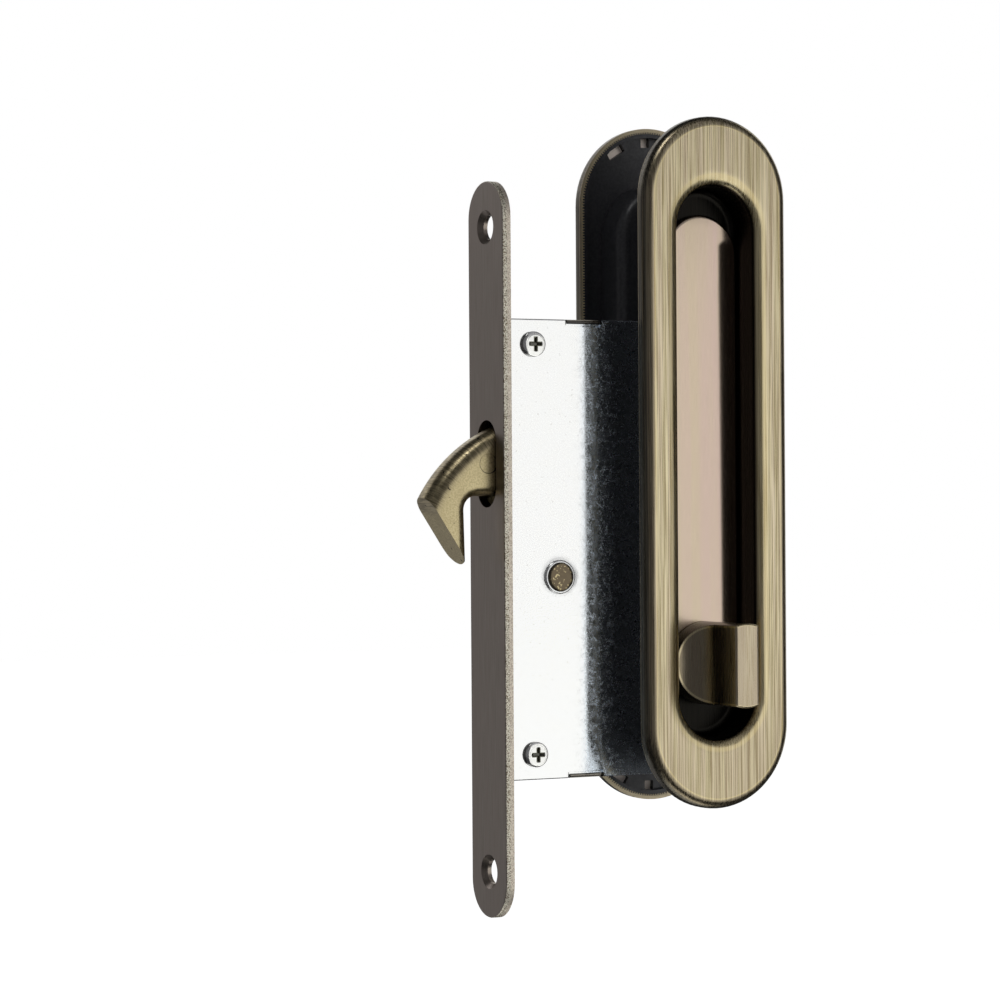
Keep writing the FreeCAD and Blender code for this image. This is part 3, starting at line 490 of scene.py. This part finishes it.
# Painted shade in the scoops, darker the deeper they go
scoop_shade = ramp_between(tree, disc["Depth"], -knob_low.y - 1.6, -knob_low.y - 0.4, 0.45, 0.0)
colour = mix_colour(tree, scoop_shade, colour, SCOOP_SHADE_TONE)
line = band_mask(tree, disc["Distance"], KNOB_R - 0.45, KNOB_R - 0.1, 0.1)
colour = mix_colour(tree, times(tree, line, 0.7), colour, RUBBED_LINE_TONE)
below_rim = ramp_between(tree, disc["Distance"], KNOB_R - 0.12, KNOB_R - 0.02)
colour = mix_colour(tree, times(tree, below_rim, 0.6), colour, BELOW_RIM_TONE)
rough = plus(tree, times(tree, streaks["Streaks"], 0.12), 0.24)
finish_surface(tree, shader, colour, rough, streaks["Height"], 0.006)
print("knob finished")

# %% [markdown]
# ## Faceplate
# The plate is rolled strip with a tight, even brushing up and down, darker than the pulls. It is
# sheared from the strip, so its edge is torn and bright, with small broken facets and a paler outer
# half. Where the point lies across the plate tells the sheared edge from the front.

# %% Finish of the faceplate
PLATE_PAIR = (0.30, 0.26, 0.215), (0.37, 0.32, 0.27)
PLATE_BAND_TONE = (0.34, 0.285, 0.24)
TORN_PAIR = (0.32, 0.255, 0.17), (1.0, 0.95, 0.80)
TORN_BACK_TONE = (1.0, 0.88, 0.74)
plate_bronze, tree, shader, place_mm = start_finish("plate_bronze", 1.0)
streaks = use_group(tree, brushed, {
    "Place": place_mm, "Stretch": (4, 4, 0.10), "Band Stretch": (0.6, 0.6, 0.02)})
skin = use_group(tree, cast, {"Place": place_mm, "Grain Size": 0.26})
quarter = add_node(tree, "ShaderNodeMapping", {"Vector": place_mm, "Rotation": (0, 0, math.pi / 2)})
outline = centred_oval(tree, quarter.outputs[0], (0, 0, 0), PLATE_STRAIGHT)
colour = mix_colour(tree, streaks["Streaks"], *PLATE_PAIR)
colour = mix_colour(tree, times(tree, streaks["Bands"], 0.5), colour, PLATE_BAND_TONE)
facets = ramp_between(tree, skin["Speckle"], 0.05, 0.55)
torn = mix_colour(tree, facets, *TORN_PAIR)
back_half = ramp_between(tree, axes_of(tree, place_mm)["X"], 0.9, 1.2)
torn = mix_colour(tree, times(tree, back_half, 0.55), torn, TORN_BACK_TONE)
at_edge = ramp_between(tree, outline["Distance"], plate_high.y - 0.14, plate_high.y - 0.06)
colour = mix_colour(tree, at_edge, colour, torn)
rough = ramp_between(tree, at_edge, 0.0, 1.0, 0.34, 0.45)
torn_height = times(tree, times(tree, skin["Height"], at_edge), 12.0)
finish_surface(tree, shader, colour, rough, plus(tree, streaks["Height"], torn_height), 0.010)
print("faceplate finished")

# %% [markdown]
# ## Hook
# The hook is cast, plated and rubbed: fine grain and a few pits on its flat sides, a brushed end
# face, and a round back that is brushed across the curve and darkened by painted shade, which
# breaks to yellow on the rounding. The back lies at one distance from the pivot, so that distance
# finds it, and the angle about the pivot gives the brushing.

# %% Cast and brushed bronze of the hook
CAST_PAIR = (0.46, 0.385, 0.21), (0.68, 0.58, 0.34)
CAST_CLOUD_TONE = (0.44, 0.36, 0.20)
BACK_SHADE_PAIR = (0.20, 0.165, 0.10), (0.54, 0.455, 0.28)
PIT_DIRT_AND_RING_SHADE_TONE = (0.04, 0.033, 0.025)
JOURNAL_PAIR = (0.165, 0.13, 0.085), (0.60, 0.50, 0.28)
GAP_SHADOW_TONE = (0.012, 0.011, 0.009)
hook_bronze, tree, shader, place_mm = start_finish("hook_bronze", 1.0)
skin = use_group(tree, cast, {"Place": place_mm, "Grain Size": 0.4})
from_pivot = centred_oval(tree, place_mm, HOOK_PIVOT)["Distance"]
pivot_axes = axes_of(tree, vector_node(tree, "SUBTRACT", place_mm, HOOK_PIVOT))
around = times(tree, math_node(tree, "ARCTAN2", pivot_axes["Z"], pivot_axes["X"]), HOOK_BACK)
polar = vector_of(tree, X=around, Y=pivot_axes["Y"], Z=from_pivot)
streaks = use_group(tree, brushed, {
    "Place": polar, "Stretch": (3.2, 0.25, 0.25), "Band Stretch": (0.4, 0.9, 0.9)})
colour = mix_colour(tree, skin["Speckle"], *CAST_PAIR)
colour = mix_colour(tree, times(tree, skin["Cloud"], 0.35), colour, CAST_CLOUD_TONE)
on_back = ramp_between(tree, from_pivot, HOOK_BACK - 4.6, HOOK_BACK - 2.2)
# Painted shade along the hook's round back, mixed into its brushing
back_shade_tone = mix_colour(tree, streaks["Streaks"], *BACK_SHADE_PAIR)
colour = mix_colour(tree, times(tree, on_back, 0.85), colour, back_shade_tone)
print("hook base mixed")

# %% Painted shade along the mould mark, and dirt in the pits
from_mark = centred_oval(tree, place_mm, MOULD_MARK)["Distance"]
# Painted shade along the edge of the mould mark, fading towards its top
mark_ring_shade = band_mask(tree, from_mark, MOULD_MARK_R - 0.06, MOULD_MARK_R + 0.06, 0.09)
mark_ring_shade = times(tree, mark_ring_shade, ramp_down(tree, pivot_axes["Y"], -3.7, -3.6))
mark_ring_shade = times(tree, mark_ring_shade, ramp_between(tree, pivot_axes["Z"], 25.2, 26.6, 1.0, 0.25))
pits = ramp_between(tree, noise(tree, place_mm, 1.1, 0.0), 0.80, 0.83)
# One dark tone for the dirt in the pits and the painted shade of the mould mark
pit_dirt_and_ring_shade = math_node(tree, "MAXIMUM", times(tree, mark_ring_shade, 0.9), pits)
colour = mix_colour(tree, pit_dirt_and_ring_shade, colour, PIT_DIRT_AND_RING_SHADE_TONE)
print("mould mark drawn")

# %% The chipped end of the journal, with a painted shadow of a gap on one side
journal = times(tree, ramp_down(tree, pivot_axes["Y"], JOURNAL_FACE - 0.2, JOURNAL_FACE),
                ramp_down(tree, from_pivot, JOURNAL_R, JOURNAL_R + 0.2))
chips = ramp_between(tree, noise(tree, place_mm, 1.5, 1.0), 0.62, 0.66)
colour = mix_colour(tree, journal, colour, mix_colour(tree, chips, *JOURNAL_PAIR))
# Painted shadow: a dark crescent on one side of the journal's end
from_gap_shadow_centre = centred_oval(tree, place_mm, GAP_SHADOW_CENTRE)["Distance"]
gap_shadow = times(tree, journal, ramp_between(tree, from_gap_shadow_centre, 2.7, 3.1))
colour = mix_colour(tree, times(tree, gap_shadow, 0.95), colour, GAP_SHADOW_TONE)
rough = plus(tree, times(tree, skin["Speckle"], 0.1), 0.28)
height = plus(tree, skin["Height"], times(tree, streaks["Height"], on_back))
finish_surface(tree, shader, colour, rough, height, 0.013)
print("hook finished")

# %% [markdown]
# ## Insert plate
# The loose plate on the cup's floor is thin polished strip with a warm pinkish colour that turns
# yellower to one side, and hardly any grain. A slow cloud mixes the two tints.

# %% Finish of the insert plates
PINK_TINT, YELLOW_TINT = (0.63, 0.485, 0.41), (0.62, 0.515, 0.37)
insert_bronze, tree, shader, place_mm = start_finish("insert_bronze", 1.0)
streaks = use_group(tree, brushed, {
    "Place": place_mm, "Stretch": (5, 5, 0.2), "Band Stretch": (0.42, 0.25, 0.012)})
skin = use_group(tree, cast, {"Place": place_mm, "Grain Size": 0.25})
across, depth, up = axes_of(tree, place_mm)
to_left = ramp_down(tree, across, PULL_X - 7, PULL_X + 5)
tint = times(tree, plus(tree, to_left, streaks["Bands"]), 0.5)
colour = mix_colour(tree, tint, PINK_TINT, YELLOW_TINT)
colour = mix_colour(tree, times(tree, streaks["Streaks"], 0.15), colour, (0.42, 0.34, 0.26))
colour = mix_colour(tree, times(tree, skin["Speckle"], 0.08), colour, (0.40, 0.32, 0.25))
crown = ramp_between(tree, across, PULL_X + 2.5, PULL_X + 6.5, 0.0, 0.14)
crown = vector_of(tree, X=times(tree, crown, ramp_down(tree, up, 66.5, 68.5)))
finish_surface(tree, shader, colour, 0.18, streaks["Height"], 0.003, leaning(tree, crown))
print("insert plates finished")

# %% [markdown]
# ## Zinc plated case
# The case is folded from bright plated sheet: nearly a mirror, with a frosty grain and a few
# hairline scratches that show best where it mirrors something dark. The sheet is pressed in a
# little where the pulls clamp it. That dip is far too shallow for the solid, but a mirror shows it,
# so the finish leans the sheet's normal there.

# %% Frosty plated skin, with a painted bluish reflection on the dark part
FROST_PAIR = (0.91, 0.915, 0.90), (0.975, 0.975, 0.95)
FROST_CLOUD_TONE = (0.94, 0.95, 0.95)
STAIN_TONE = (0.62, 0.61, 0.58)
BLUE_REFLECTION_TONE = (0.80, 0.90, 1.0)
zinc_sheet, tree, shader, place_mm = start_finish("zinc_sheet", 0.985)
frost = use_group(tree, cast, {"Place": place_mm, "Grain Size": 0.30})
across, depth, up = axes_of(tree, place_mm)
colour = mix_colour(tree, frost["Speckle"], *FROST_PAIR)
colour = mix_colour(tree, times(tree, frost["Cloud"], 0.35), colour, FROST_CLOUD_TONE)
stains = ramp_between(tree, noise(tree, place_mm, 1.3, 2.0), 0.66, 0.74)
colour = mix_colour(tree, times(tree, stains, 0.4), colour, STAIN_TONE)
# Painted reflection: a bluish tint over the part of the sheet that mirrors something dark
blue_reflection = ramp_between(tree, across, DARK_START - 3, DARK_START + 1)
colour = mix_colour(tree, times(tree, blue_reflection, 0.8), colour, BLUE_REFLECTION_TONE)
print("plated skin mixed")

# %% Painted shade on the bends of the cover's tongues and in their gaps
GAP_SHADE_TONE, BEND_SHADE_TONE = (0.06, 0.06, 0.055), (0.19, 0.175, 0.15)
from_middle = math_node(tree, "ABSOLUTE", up)
# Painted shade in the gaps of the tongues and on their bends
gap_shade = times(tree, band_mask(tree, across, TONGUE_START - 0.4, TONGUE_END + 0.4, 0.15),
               ramp_between(tree, from_middle, TONGUE_FOOT, TONGUE_FOOT + 0.1))
colour = mix_colour(tree, gap_shade, colour, GAP_SHADE_TONE)
on_bend = times(tree, band_mask(tree, across, TONGUE_START, TONGUE_END, 0.15),
                ramp_between(tree, from_middle, TONGUE_FOOT + 0.25, TONGUE_FOOT + 0.35))
colour = mix_colour(tree, on_bend, colour, BEND_SHADE_TONE)
print("tongues drawn")

# %% Scratches and clouding, and the sheet's lean
hair = use_group(tree, scratched, {"Place": stretched(tree, place_mm, (2.0, 2.0, 2.0)), "Limit": 0.71})
patches = ramp_between(tree, noise(tree, place_mm, 0.9, 4.0, 0.75), 0.40, 0.68)
dark_part = ramp_between(tree, across, DARK_START - 5.5, DARK_START - 2, 0.22, 1.0)
collar = centred_oval(tree, place_mm, HOOK_PIVOT)
dished = ramp_between(tree, collar["Distance"], 3.9, 5.4, 0.17, 0.0)
rough = ramp_between(tree, frost["Speckle"], 0.0, 1.0, 0.07, 0.17)
clouding = plus(tree, times(tree, hair["Lines"], 0.10), times(tree, patches, 0.16))
rough = plus(tree, rough, times(tree, clouding, dark_part))
rough = plus(tree, rough, dished)
height = plus(tree, frost["Height"], times(tree, times(tree, hair["Lines"], dark_part), -0.35))
pressed = band_mask(tree, across, DARK_START, DARK_END, 4.5)
lean = vector_of(tree, X=times(tree, pressed, 0.165), Y=times(tree, on_bend, -1.3))
lean = vector_node(tree, "ADD", lean, scaled(tree, collar["Outward"], dished))
finish_surface(tree, shader, colour, rough, height, 0.006, leaning(tree, lean))
print("case finished")

# %% [markdown]
# ## Steel, spring steel, die cast zinc and black plastic
# Screws and posts are plated steel, and the cross in a screw's head is darkened by painted shade.
# The rings are darker spring steel, the follower keeps the dull skin of its die, and the bases are
# moulded plastic with a satin skin.

# %% Finish of the steel parts
STEEL_PAIR = (0.84, 0.84, 0.80), (0.95, 0.95, 0.92)
CROSS_SHADE_PAIR = (0.05, 0.05, 0.035), (0.17, 0.17, 0.125)
FOOT_SHADE_TONE = (0.10, 0.10, 0.09)
steel_parts, tree, shader, place_mm = start_finish("steel_parts", 1.0)
skin = use_group(tree, cast, {"Place": place_mm, "Grain Size": 0.3})
colour = mix_colour(tree, skin["Speckle"], *STEEL_PAIR)
aside, depth, up = axes_of(tree, vector_node(tree, "SUBTRACT", place_mm, (SCREW_X, 0, 0)))
aside = math_node(tree, "ABSOLUTE", aside)
above = math_node(tree, "SUBTRACT", math_node(tree, "ABSOLUTE", up), SCREW_Z)
above = math_node(tree, "ABSOLUTE", above)
nearer, farther = math_node(tree, "MINIMUM", aside, above), math_node(tree, "MAXIMUM", aside, above)
# Painted shade in and round the cross of the screw's head
cross_shade = times(tree, ramp_down(tree, nearer, 0.46, 0.56), ramp_down(tree, farther, 1.5, 1.7))
cross_shade = times(tree, cross_shade, ramp_down(tree, depth, SCREW_FACE + 1.2, SCREW_FACE + 1.3))
colour = mix_colour(tree, cross_shade, colour, mix_colour(tree, skin["Speckle"], *CROSS_SHADE_PAIR))
foot = band_mask(tree, depth, SCREW_FACE + 0.9, SCREW_FACE + 1.55, 0.2)
colour = mix_colour(tree, times(tree, foot, 0.8), colour, FOOT_SHADE_TONE)
rough = plus(tree, times(tree, skin["Cloud"], 0.08), 0.14)
shoulder = ramp_between(tree, depth, SCREW_FACE + 0.55, SCREW_FACE + 0.85, -1.6, 0.0)
shoulder = times(tree, shoulder, ramp_between(tree, depth, SCREW_FACE + 0.02, SCREW_FACE + 0.06))
lean = vector_of(tree, Y=shoulder)
finish_surface(tree, shader, colour, rough, skin["Height"], 0.003, leaning(tree, lean))
print("steel finished")

# %% Finishes of the rings, the follower and the bases
def plain_finish(name, metallic, grain_size, dark, light, rough_from, rough_rise, rise_mm):
    """A finish of one speckled skin."""
    finish, tree, shader, place_mm = start_finish(name, metallic)
    skin = use_group(tree, cast, {"Place": place_mm, "Grain Size": grain_size})
    colour = mix_colour(tree, skin["Speckle"], dark, light)
    rough = plus(tree, times(tree, skin["Cloud"], rough_rise), rough_from)
    finish_surface(tree, shader, colour, rough, skin["Height"], rise_mm)
    return finish


spring_steel = plain_finish(
    "spring_steel", 1.0, grain_size=0.25, dark=(0.22, 0.22, 0.225), light=(0.42, 0.42, 0.42),
    rough_from=0.30, rough_rise=0.08, rise_mm=0.005)
follower_zinc = plain_finish(
    "follower_zinc", 1.0, grain_size=0.4, dark=(0.45, 0.45, 0.44), light=(0.62, 0.62, 0.61),
    rough_from=0.38, rough_rise=0.10, rise_mm=0.020)
black_plastic = plain_finish(
    "black_plastic", 0.0, grain_size=0.6, dark=(0.012, 0.012, 0.014), light=(0.022, 0.022, 0.024),
    rough_from=0.30, rough_rise=0.12, rise_mm=0.010)
print("rings, follower and bases finished")

# %% [markdown]
# ## Lay the finishes on the solids
# Each solid already names its own finish, so a table from that name to the new material is enough.
# The knob and the release share a name with the covers, and get their own version of the bronze.

# %% Assign the finishes
by_slot = {"pull_bronze": pull_bronze, "plate_bronze": plate_bronze, "hook_bronze": hook_bronze,
           "insert_bronze": insert_bronze, "zinc_sheet": zinc_sheet, "steel_parts": steel_parts,
           "spring_steel": spring_steel, "follower_zinc": follower_zinc, "black_plastic": black_plastic}
own_finish = {"thumb_turn": knob_bronze, "rear_release": knob_bronze}
for part in frame["record"]["subparts"]:
    solid = nodes[part["node"]]
    solid.data.materials.clear()
    solid.data.materials.append(own_finish.get(part["node"], by_slot[part["material_slot"]]))
print("finishes laid on", len(nodes), "solids")

# %% [markdown]
# ## Crimped teeth
# The back edge of each real cover is crimped over its black base with a toothed tool, which leaves
# a row of tiny teeth all round the oval. They could be drawn by a pattern, but they break the
# outline of the edge, so they are modelled: one tooth with bevelled edges, a row of it up the
# straight side, a fan of it round the lower end, and then the same half turned about the pull's
# middle.

# %% Small helpers for modelling by hand
TOOTH_PITCH = 0.62
TOOTH_SIZE = (0.50, 0.24, 0.34)
TOOTH_BEVEL = 0.06
TOOTH_LINE = PULL_HALF - 0.95


def alone(piece):
    """Select one piece and nothing else."""
    bpy.ops.object.select_all(action="DESELECT")
    piece.select_set(True)
    bpy.context.view_layer.objects.active = piece


def copy_of(piece, name):
    """A copy with its own mesh."""
    made = piece.copy()
    made.data = piece.data.copy()
    made.name = name
    bpy.context.scene.collection.objects.link(made)
    return made


def edit_all(piece):
    """Open a piece in edit mode with all of it selected."""
    alone(piece)
    bpy.ops.object.mode_set(mode="EDIT")
    bpy.ops.mesh.select_all(action="SELECT")


def mirrored_copy(piece, name):
    """A copy on the door's other face, with its faces turned outwards again."""
    made = copy_of(piece, name)
    edit_all(made)
    bpy.ops.transform.resize(value=(1, -1, 1), center_override=(0, 0, 0))
    bpy.ops.mesh.normals_make_consistent(inside=False)
    bpy.ops.object.mode_set(mode="OBJECT")
    return made


def wear(piece, finish):
    """Give a piece one finish, and say how large it came out."""
    piece.data.materials.clear()
    piece.data.materials.append(finish)
    low = [round(min(v.co[i] for v in piece.data.vertices) / MM, 2) for i in range(3)]
    high = [round(max(v.co[i] for v in piece.data.vertices) / MM, 2) for i in range(3)]
    print(piece.name, "faces", len(piece.data.polygons), "from", low, "to", high)


print("teeth stand", TOOTH_LINE, "mm from the pull's middle line")

# %% One tooth, at the lower end of the left side
bpy.ops.object.select_all(action="DESELECT")
start = Vector((PULL_X - TOOTH_LINE, FLANGE_BACK, PULL_Z - PULL_STRAIGHT)) * MM
bpy.ops.mesh.primitive_cube_add(size=1, location=start, scale=Vector(TOOTH_SIZE) * MM)
row = bpy.context.active_object
bpy.ops.object.transform_apply(location=True, rotation=True, scale=True)
edit_all(row)
bpy.ops.mesh.bevel(offset=TOOTH_BEVEL * MM, segments=1, affect="EDGES")
bpy.ops.object.mode_set(mode="OBJECT")
print("tooth faces", len(row.data.polygons))

# %% A fan round the lower end and a row up the side
fan = copy_of(row, "rear_crimp_fan")
edit_all(fan)
fan_steps = round(math.pi * TOOTH_LINE / TOOTH_PITCH)
bpy.ops.mesh.spin(steps=fan_steps, dupli=True, angle=math.pi, axis=(0, 1, 0),
                  center=Vector((PULL_X, FLANGE_BACK, PULL_Z - PULL_STRAIGHT)) * MM)
bpy.ops.object.mode_set(mode="OBJECT")
alone(row)
repeat = row.modifiers.new("repeat", "ARRAY")
repeat.use_relative_offset = False
repeat.use_constant_offset = True
repeat.constant_offset_displace = (0, 0, TOOTH_PITCH * MM)
repeat.count = round(2 * PULL_STRAIGHT / TOOTH_PITCH)
bpy.ops.object.modifier_apply(modifier=repeat.name)
print("fan faces", len(fan.data.polygons), "row faces", len(row.data.polygons))

# %% Join the half, and turn a copy of it for the other side
alone(row)
fan.select_set(True)
bpy.ops.object.join()
other = copy_of(row, "rear_crimp_other")
edit_all(other)
pull_middle = Vector((PULL_X, FLANGE_BACK, PULL_Z)) * MM
bpy.ops.transform.rotate(value=math.pi, orient_axis="Y", center_override=pull_middle)
bpy.ops.object.mode_set(mode="OBJECT")
alone(row)
other.select_set(True)
bpy.ops.object.join()
row.name = "rear_crimp_teeth"
front_teeth = mirrored_copy(row, "front_crimp_teeth")
for teeth in (row, front_teeth):
    wear(teeth, pull_bronze)
    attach(teeth, "lock")

# %% [markdown]
# ## Insert plates
# The bright plate on a cup's floor is pressed from thin sheet, and its rolled edge beds on the
# cup's rounded corner, so it fills the cup from side to side. Its solid keeps clear of that corner,
# which leaves a dark gap that the real one doesn't show. The gap could be painted over, but a plate
# of the right size is quickly modelled: a circle is parted into an oval, pushed out to a plate,
# rounded along its front edge and bored for the knob's neck.

# %% Sizes of the insert plate
INSERT_HALF = 9.2
INSERT_REACH = {1: 45.75, -1: 43.6}
INSERT_THICK = 0.9
INSERT_ROUND = 0.8
INSERT_BORE = 4.7
INSERT_CORNERS = 96
insert_face = in_mm("front_insert_plate")[0].y
print("insert plate's face at", round(insert_face, 2))

# %% An oval plate with a rounded edge
bpy.ops.object.select_all(action="DESELECT")
middle = Vector((PULL_X, insert_face + INSERT_THICK, PULL_Z)) * MM
bpy.ops.mesh.primitive_circle_add(
    vertices=INSERT_CORNERS, radius=INSERT_HALF * MM, fill_type="NGON", location=middle,
    rotation=(math.pi / 2, 0, 0))
insert = bpy.context.active_object
bpy.ops.object.transform_apply(location=True, rotation=True, scale=True)
edit_all(insert)
bpy.ops.transform.rotate(value=math.pi / INSERT_CORNERS, orient_axis="Y", center_override=middle)
bpy.ops.object.mode_set(mode="OBJECT")
for side, reach in INSERT_REACH.items():
    alone(insert)
    bpy.ops.object.mode_set(mode="EDIT")
    bpy.ops.mesh.select_all(action="DESELECT")
    bpy.ops.object.mode_set(mode="OBJECT")
    for corner in insert.data.vertices:
        corner.select = side * (corner.co.z - middle.z) > 0
    bpy.ops.object.mode_set(mode="EDIT")
    bpy.ops.transform.translate(value=(0, 0, side * reach * MM))
    bpy.ops.object.mode_set(mode="OBJECT")
edit_all(insert)
bpy.ops.mesh.extrude_region_move(TRANSFORM_OT_translate={"value": (0, -INSERT_THICK * MM, 0)})
bpy.ops.mesh.bevel(offset=INSERT_ROUND * MM, segments=6, affect="EDGES")
bpy.ops.mesh.select_all(action="SELECT")
bpy.ops.mesh.normals_make_consistent(inside=False)
bpy.ops.object.mode_set(mode="OBJECT")
print("plate faces", len(insert.data.polygons))

# %% The bore for the knob's neck, a smooth edge and the second plate
bpy.ops.object.select_all(action="DESELECT")
bpy.ops.mesh.primitive_cylinder_add(
    vertices=64, radius=INSERT_BORE * MM, depth=6 * MM, rotation=(math.pi / 2, 0, 0),
    location=Vector((KNOB_X, insert_face, KNOB_Z)) * MM)
drill = bpy.context.active_object
alone(insert)
bore = insert.modifiers.new("bore", "BOOLEAN")
bore.operation = "DIFFERENCE"
bore.object = drill
bpy.ops.object.modifier_apply(modifier=bore.name)
bpy.data.objects.remove(drill)
bpy.ops.object.shade_smooth_by_angle(angle=math.radians(30))
insert.name = "front_insert_seen"
rear_insert = mirrored_copy(insert, "rear_insert_seen")
for plate, node in ((insert, "front_insert_plate"), (rear_insert, "rear_insert_plate")):
    wear(plate, insert_bronze)
    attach(plate, "lock")
    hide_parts(node)

# %% [markdown]
# ## Floor, backdrop and light
# The lock hangs in front of plain white, so the floor lies well below it and the backdrop is the
# world itself. White could come from stronger lamps, but they would also bleach the lock. Instead
# the world and the floor look white only to the camera, to mirrors and to glass, and the lamps stay
# at a plain level.

# %% The white world
def seen_directly(tree):
    """One for the camera and for mirrored and clear rays, and nought for the light that surfaces scatter."""
    path = add_node(tree, "ShaderNodeLightPath").outputs
    seen = math_node(tree, "MAXIMUM", path["Is Camera Ray"], path["Is Glossy Ray"])
    return math_node(tree, "MAXIMUM", seen, path["Is Transmission Ray"])


world = bpy.data.worlds.new("studio")
bpy.context.scene.world = world
world.use_nodes = True
tree = world.node_tree
tree.nodes.clear()
plain = add_node(tree, "ShaderNodeBackground", {"Color": (0.95, 0.97, 1.0), "Strength": 0.6})
white = add_node(tree, "ShaderNodeBackground", {"Color": (1, 1, 1), "Strength": 1.0})
both = add_node(tree, "ShaderNodeMixShader", {
    0: seen_directly(tree), 1: plain.outputs[0], 2: white.outputs[0]})
add_node(tree, "ShaderNodeOutputWorld", {"Surface": both.outputs[0]})
print("world ready")

# %% The floor
FLOOR_Z = -0.62
FLOOR_REACH = 12.0
FLOOR_GLOW = 0.56
corners = [(x * FLOOR_REACH, y * FLOOR_REACH, FLOOR_Z) for x, y in ((-1, -1), (1, -1), (1, 1), (-1, 1))]
floor_mesh = bpy.data.meshes.new("floor")
floor_mesh.from_pydata(corners, [], [(0, 1, 2, 3)])
floor = bpy.data.objects.new("floor", floor_mesh)
bpy.context.scene.collection.objects.link(floor)
floor_finish = bpy.data.materials.new("pale_floor")
floor_finish.use_nodes = True
tree = floor_finish.node_tree
tree.nodes.clear()
glow = add_node(tree, "ShaderNodeEmission", {
    "Color": (1, 0.99, 0.97), "Strength": times(tree, seen_directly(tree), FLOOR_GLOW)})
matte = add_node(tree, "ShaderNodeBsdfDiffuse", {"Color": (0.85, 0.85, 0.84)})
total = add_node(tree, "ShaderNodeAddShader", {0: glow.outputs[0], 1: matte.outputs[0]})
add_node(tree, "ShaderNodeOutputMaterial", {"Surface": total.outputs[0]})
floor_mesh.materials.append(floor_finish)
floor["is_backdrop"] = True
print("floor at", FLOOR_Z)

# %% [markdown]
# ## Softboxes and dark cloth
# Polished metal is photographed by what it mirrors. Faces that look at the camera's right mirror a
# bright window, and faces that look left, back or up mirror cloth, which gives the rim and the
# faceplate their deep tone. The cloth could be painted into the finishes, but then they would be
# wrong from every other side, so it is a real dome round the lock. Only mirrors see it: it casts no
# shadow, so the lamps reach the lock and the floor evenly.

# %% Two soft lamps
def soft_lamp(name, direction, distance, wide, high, power):
    """A rectangular softbox that faces the middle of the lock."""
    data = bpy.data.lights.new(name, "AREA")
    data.shape = "RECTANGLE"
    data.size, data.size_y = wide, high
    data.energy = power
    lamp = bpy.data.objects.new(name, data)
    bpy.context.scene.collection.objects.link(lamp)
    aim = Vector((0.03, 0, 0.01))
    lamp.location = aim + Vector(direction).normalized() * distance
    lamp.rotation_euler = (aim - lamp.location).to_track_quat("-Z", "Y").to_euler()
    return lamp


softbox = soft_lamp("front_right_softbox", direction=(0.50, -0.84, 0.30), distance=1.3,
                    wide=0.8, high=1.0, power=5.0)
softbox.visible_glossy = False
soft_lamp("top_strip", direction=(-0.32, -0.30, 0.9), distance=0.5, wide=0.10, high=0.16, power=0.22)
print("lamps ready")

# %% The cloth: a dome of small panes, each black, grey or left open by where it lies
CLOTH_RADIUS = 0.6
PANE = 4
LOWEST_PANE = -66
BLACK, GREY = 0.045, 0.30
DIM, UPPER, BRIGHT = 0.13, 0.28, 0.75
FRONT_WINDOW = (-84, -40, -34, 17)
REAR_WINDOW = (12, 84, -18, 44)
ABOVE_WINDOW = (-84, -40, 17, 62)
LEFT_SHEET = (84, 136, -46, 44)


def lies_in(turn, tilt, region):
    """Whether a direction lies between the region's two turns and two tilts."""
    left, right, low, high = region
    return left < turn < right and low < tilt < high


def cloth_tone(turn, tilt):
    """How bright the cloth is in one direction, by degrees from +X and degrees up, or None where open."""
    if lies_in(turn, tilt, FRONT_WINDOW) or lies_in(turn, tilt, REAR_WINDOW):
        return None
    if lies_in(turn, tilt, ABOVE_WINDOW):
        return UPPER
    if lies_in(turn, tilt, LEFT_SHEET):
        return GREY if tilt < 20 else BRIGHT
    if tilt > 32 or tilt < -18:
        return BLACK
    return DIM if abs(turn) > 84 else BLACK


panes = {}
for tilt in range(LOWEST_PANE, 90, PANE):
    for turn in range(-180, 180, PANE):
        tone = cloth_tone(turn + PANE / 2, tilt + PANE / 2)
        if tone is not None:
            panes.setdefault(tone, []).append((turn, tilt))
print("panes by tone", {tone: len(found) for tone, found in panes.items()})

# %% Hang the cloth
def on_dome(turn, tilt):
    """A point of the dome in one direction."""
    across, up = math.radians(turn), math.radians(tilt)
    flat = math.cos(up)
    return tuple(CLOTH_RADIUS * v for v in (flat * math.cos(across), flat * math.sin(across), math.sin(up)))


for tone, found in panes.items():
    points = []
    for turn, tilt in found:
        points += [on_dome(turn, tilt), on_dome(turn + PANE, tilt), on_dome(turn + PANE, tilt + PANE),
                   on_dome(turn, tilt + PANE)]
    cloth_mesh = bpy.data.meshes.new("cloth")
    cloth_mesh.from_pydata(points, [], [tuple(range(4 * i, 4 * i + 4)) for i in range(len(found))])
    cloth = bpy.data.objects.new("cloth", cloth_mesh)
    bpy.context.scene.collection.objects.link(cloth)
    cloth_finish = bpy.data.materials.new("cloth")
    cloth_finish.use_nodes = True
    tree = cloth_finish.node_tree
    tree.nodes.clear()
    glow = add_node(tree, "ShaderNodeEmission", {"Color": (tone, tone, tone * 1.06), "Strength": 1.0})
    add_node(tree, "ShaderNodeOutputMaterial", {"Surface": glow.outputs[0]})
    cloth_mesh.materials.append(cloth_finish)
    cloth.visible_camera = False
    cloth.visible_diffuse = False
    cloth.visible_shadow = False
    cloth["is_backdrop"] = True
    print("cloth of tone", tone, "hung")

# %% Finish
visual_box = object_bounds()
gaps = [abs(a - b) for solid, visual in zip(solid_box, visual_box) for a, b in zip(solid, visual)]
print("boxes agree within", max(gaps), "m")
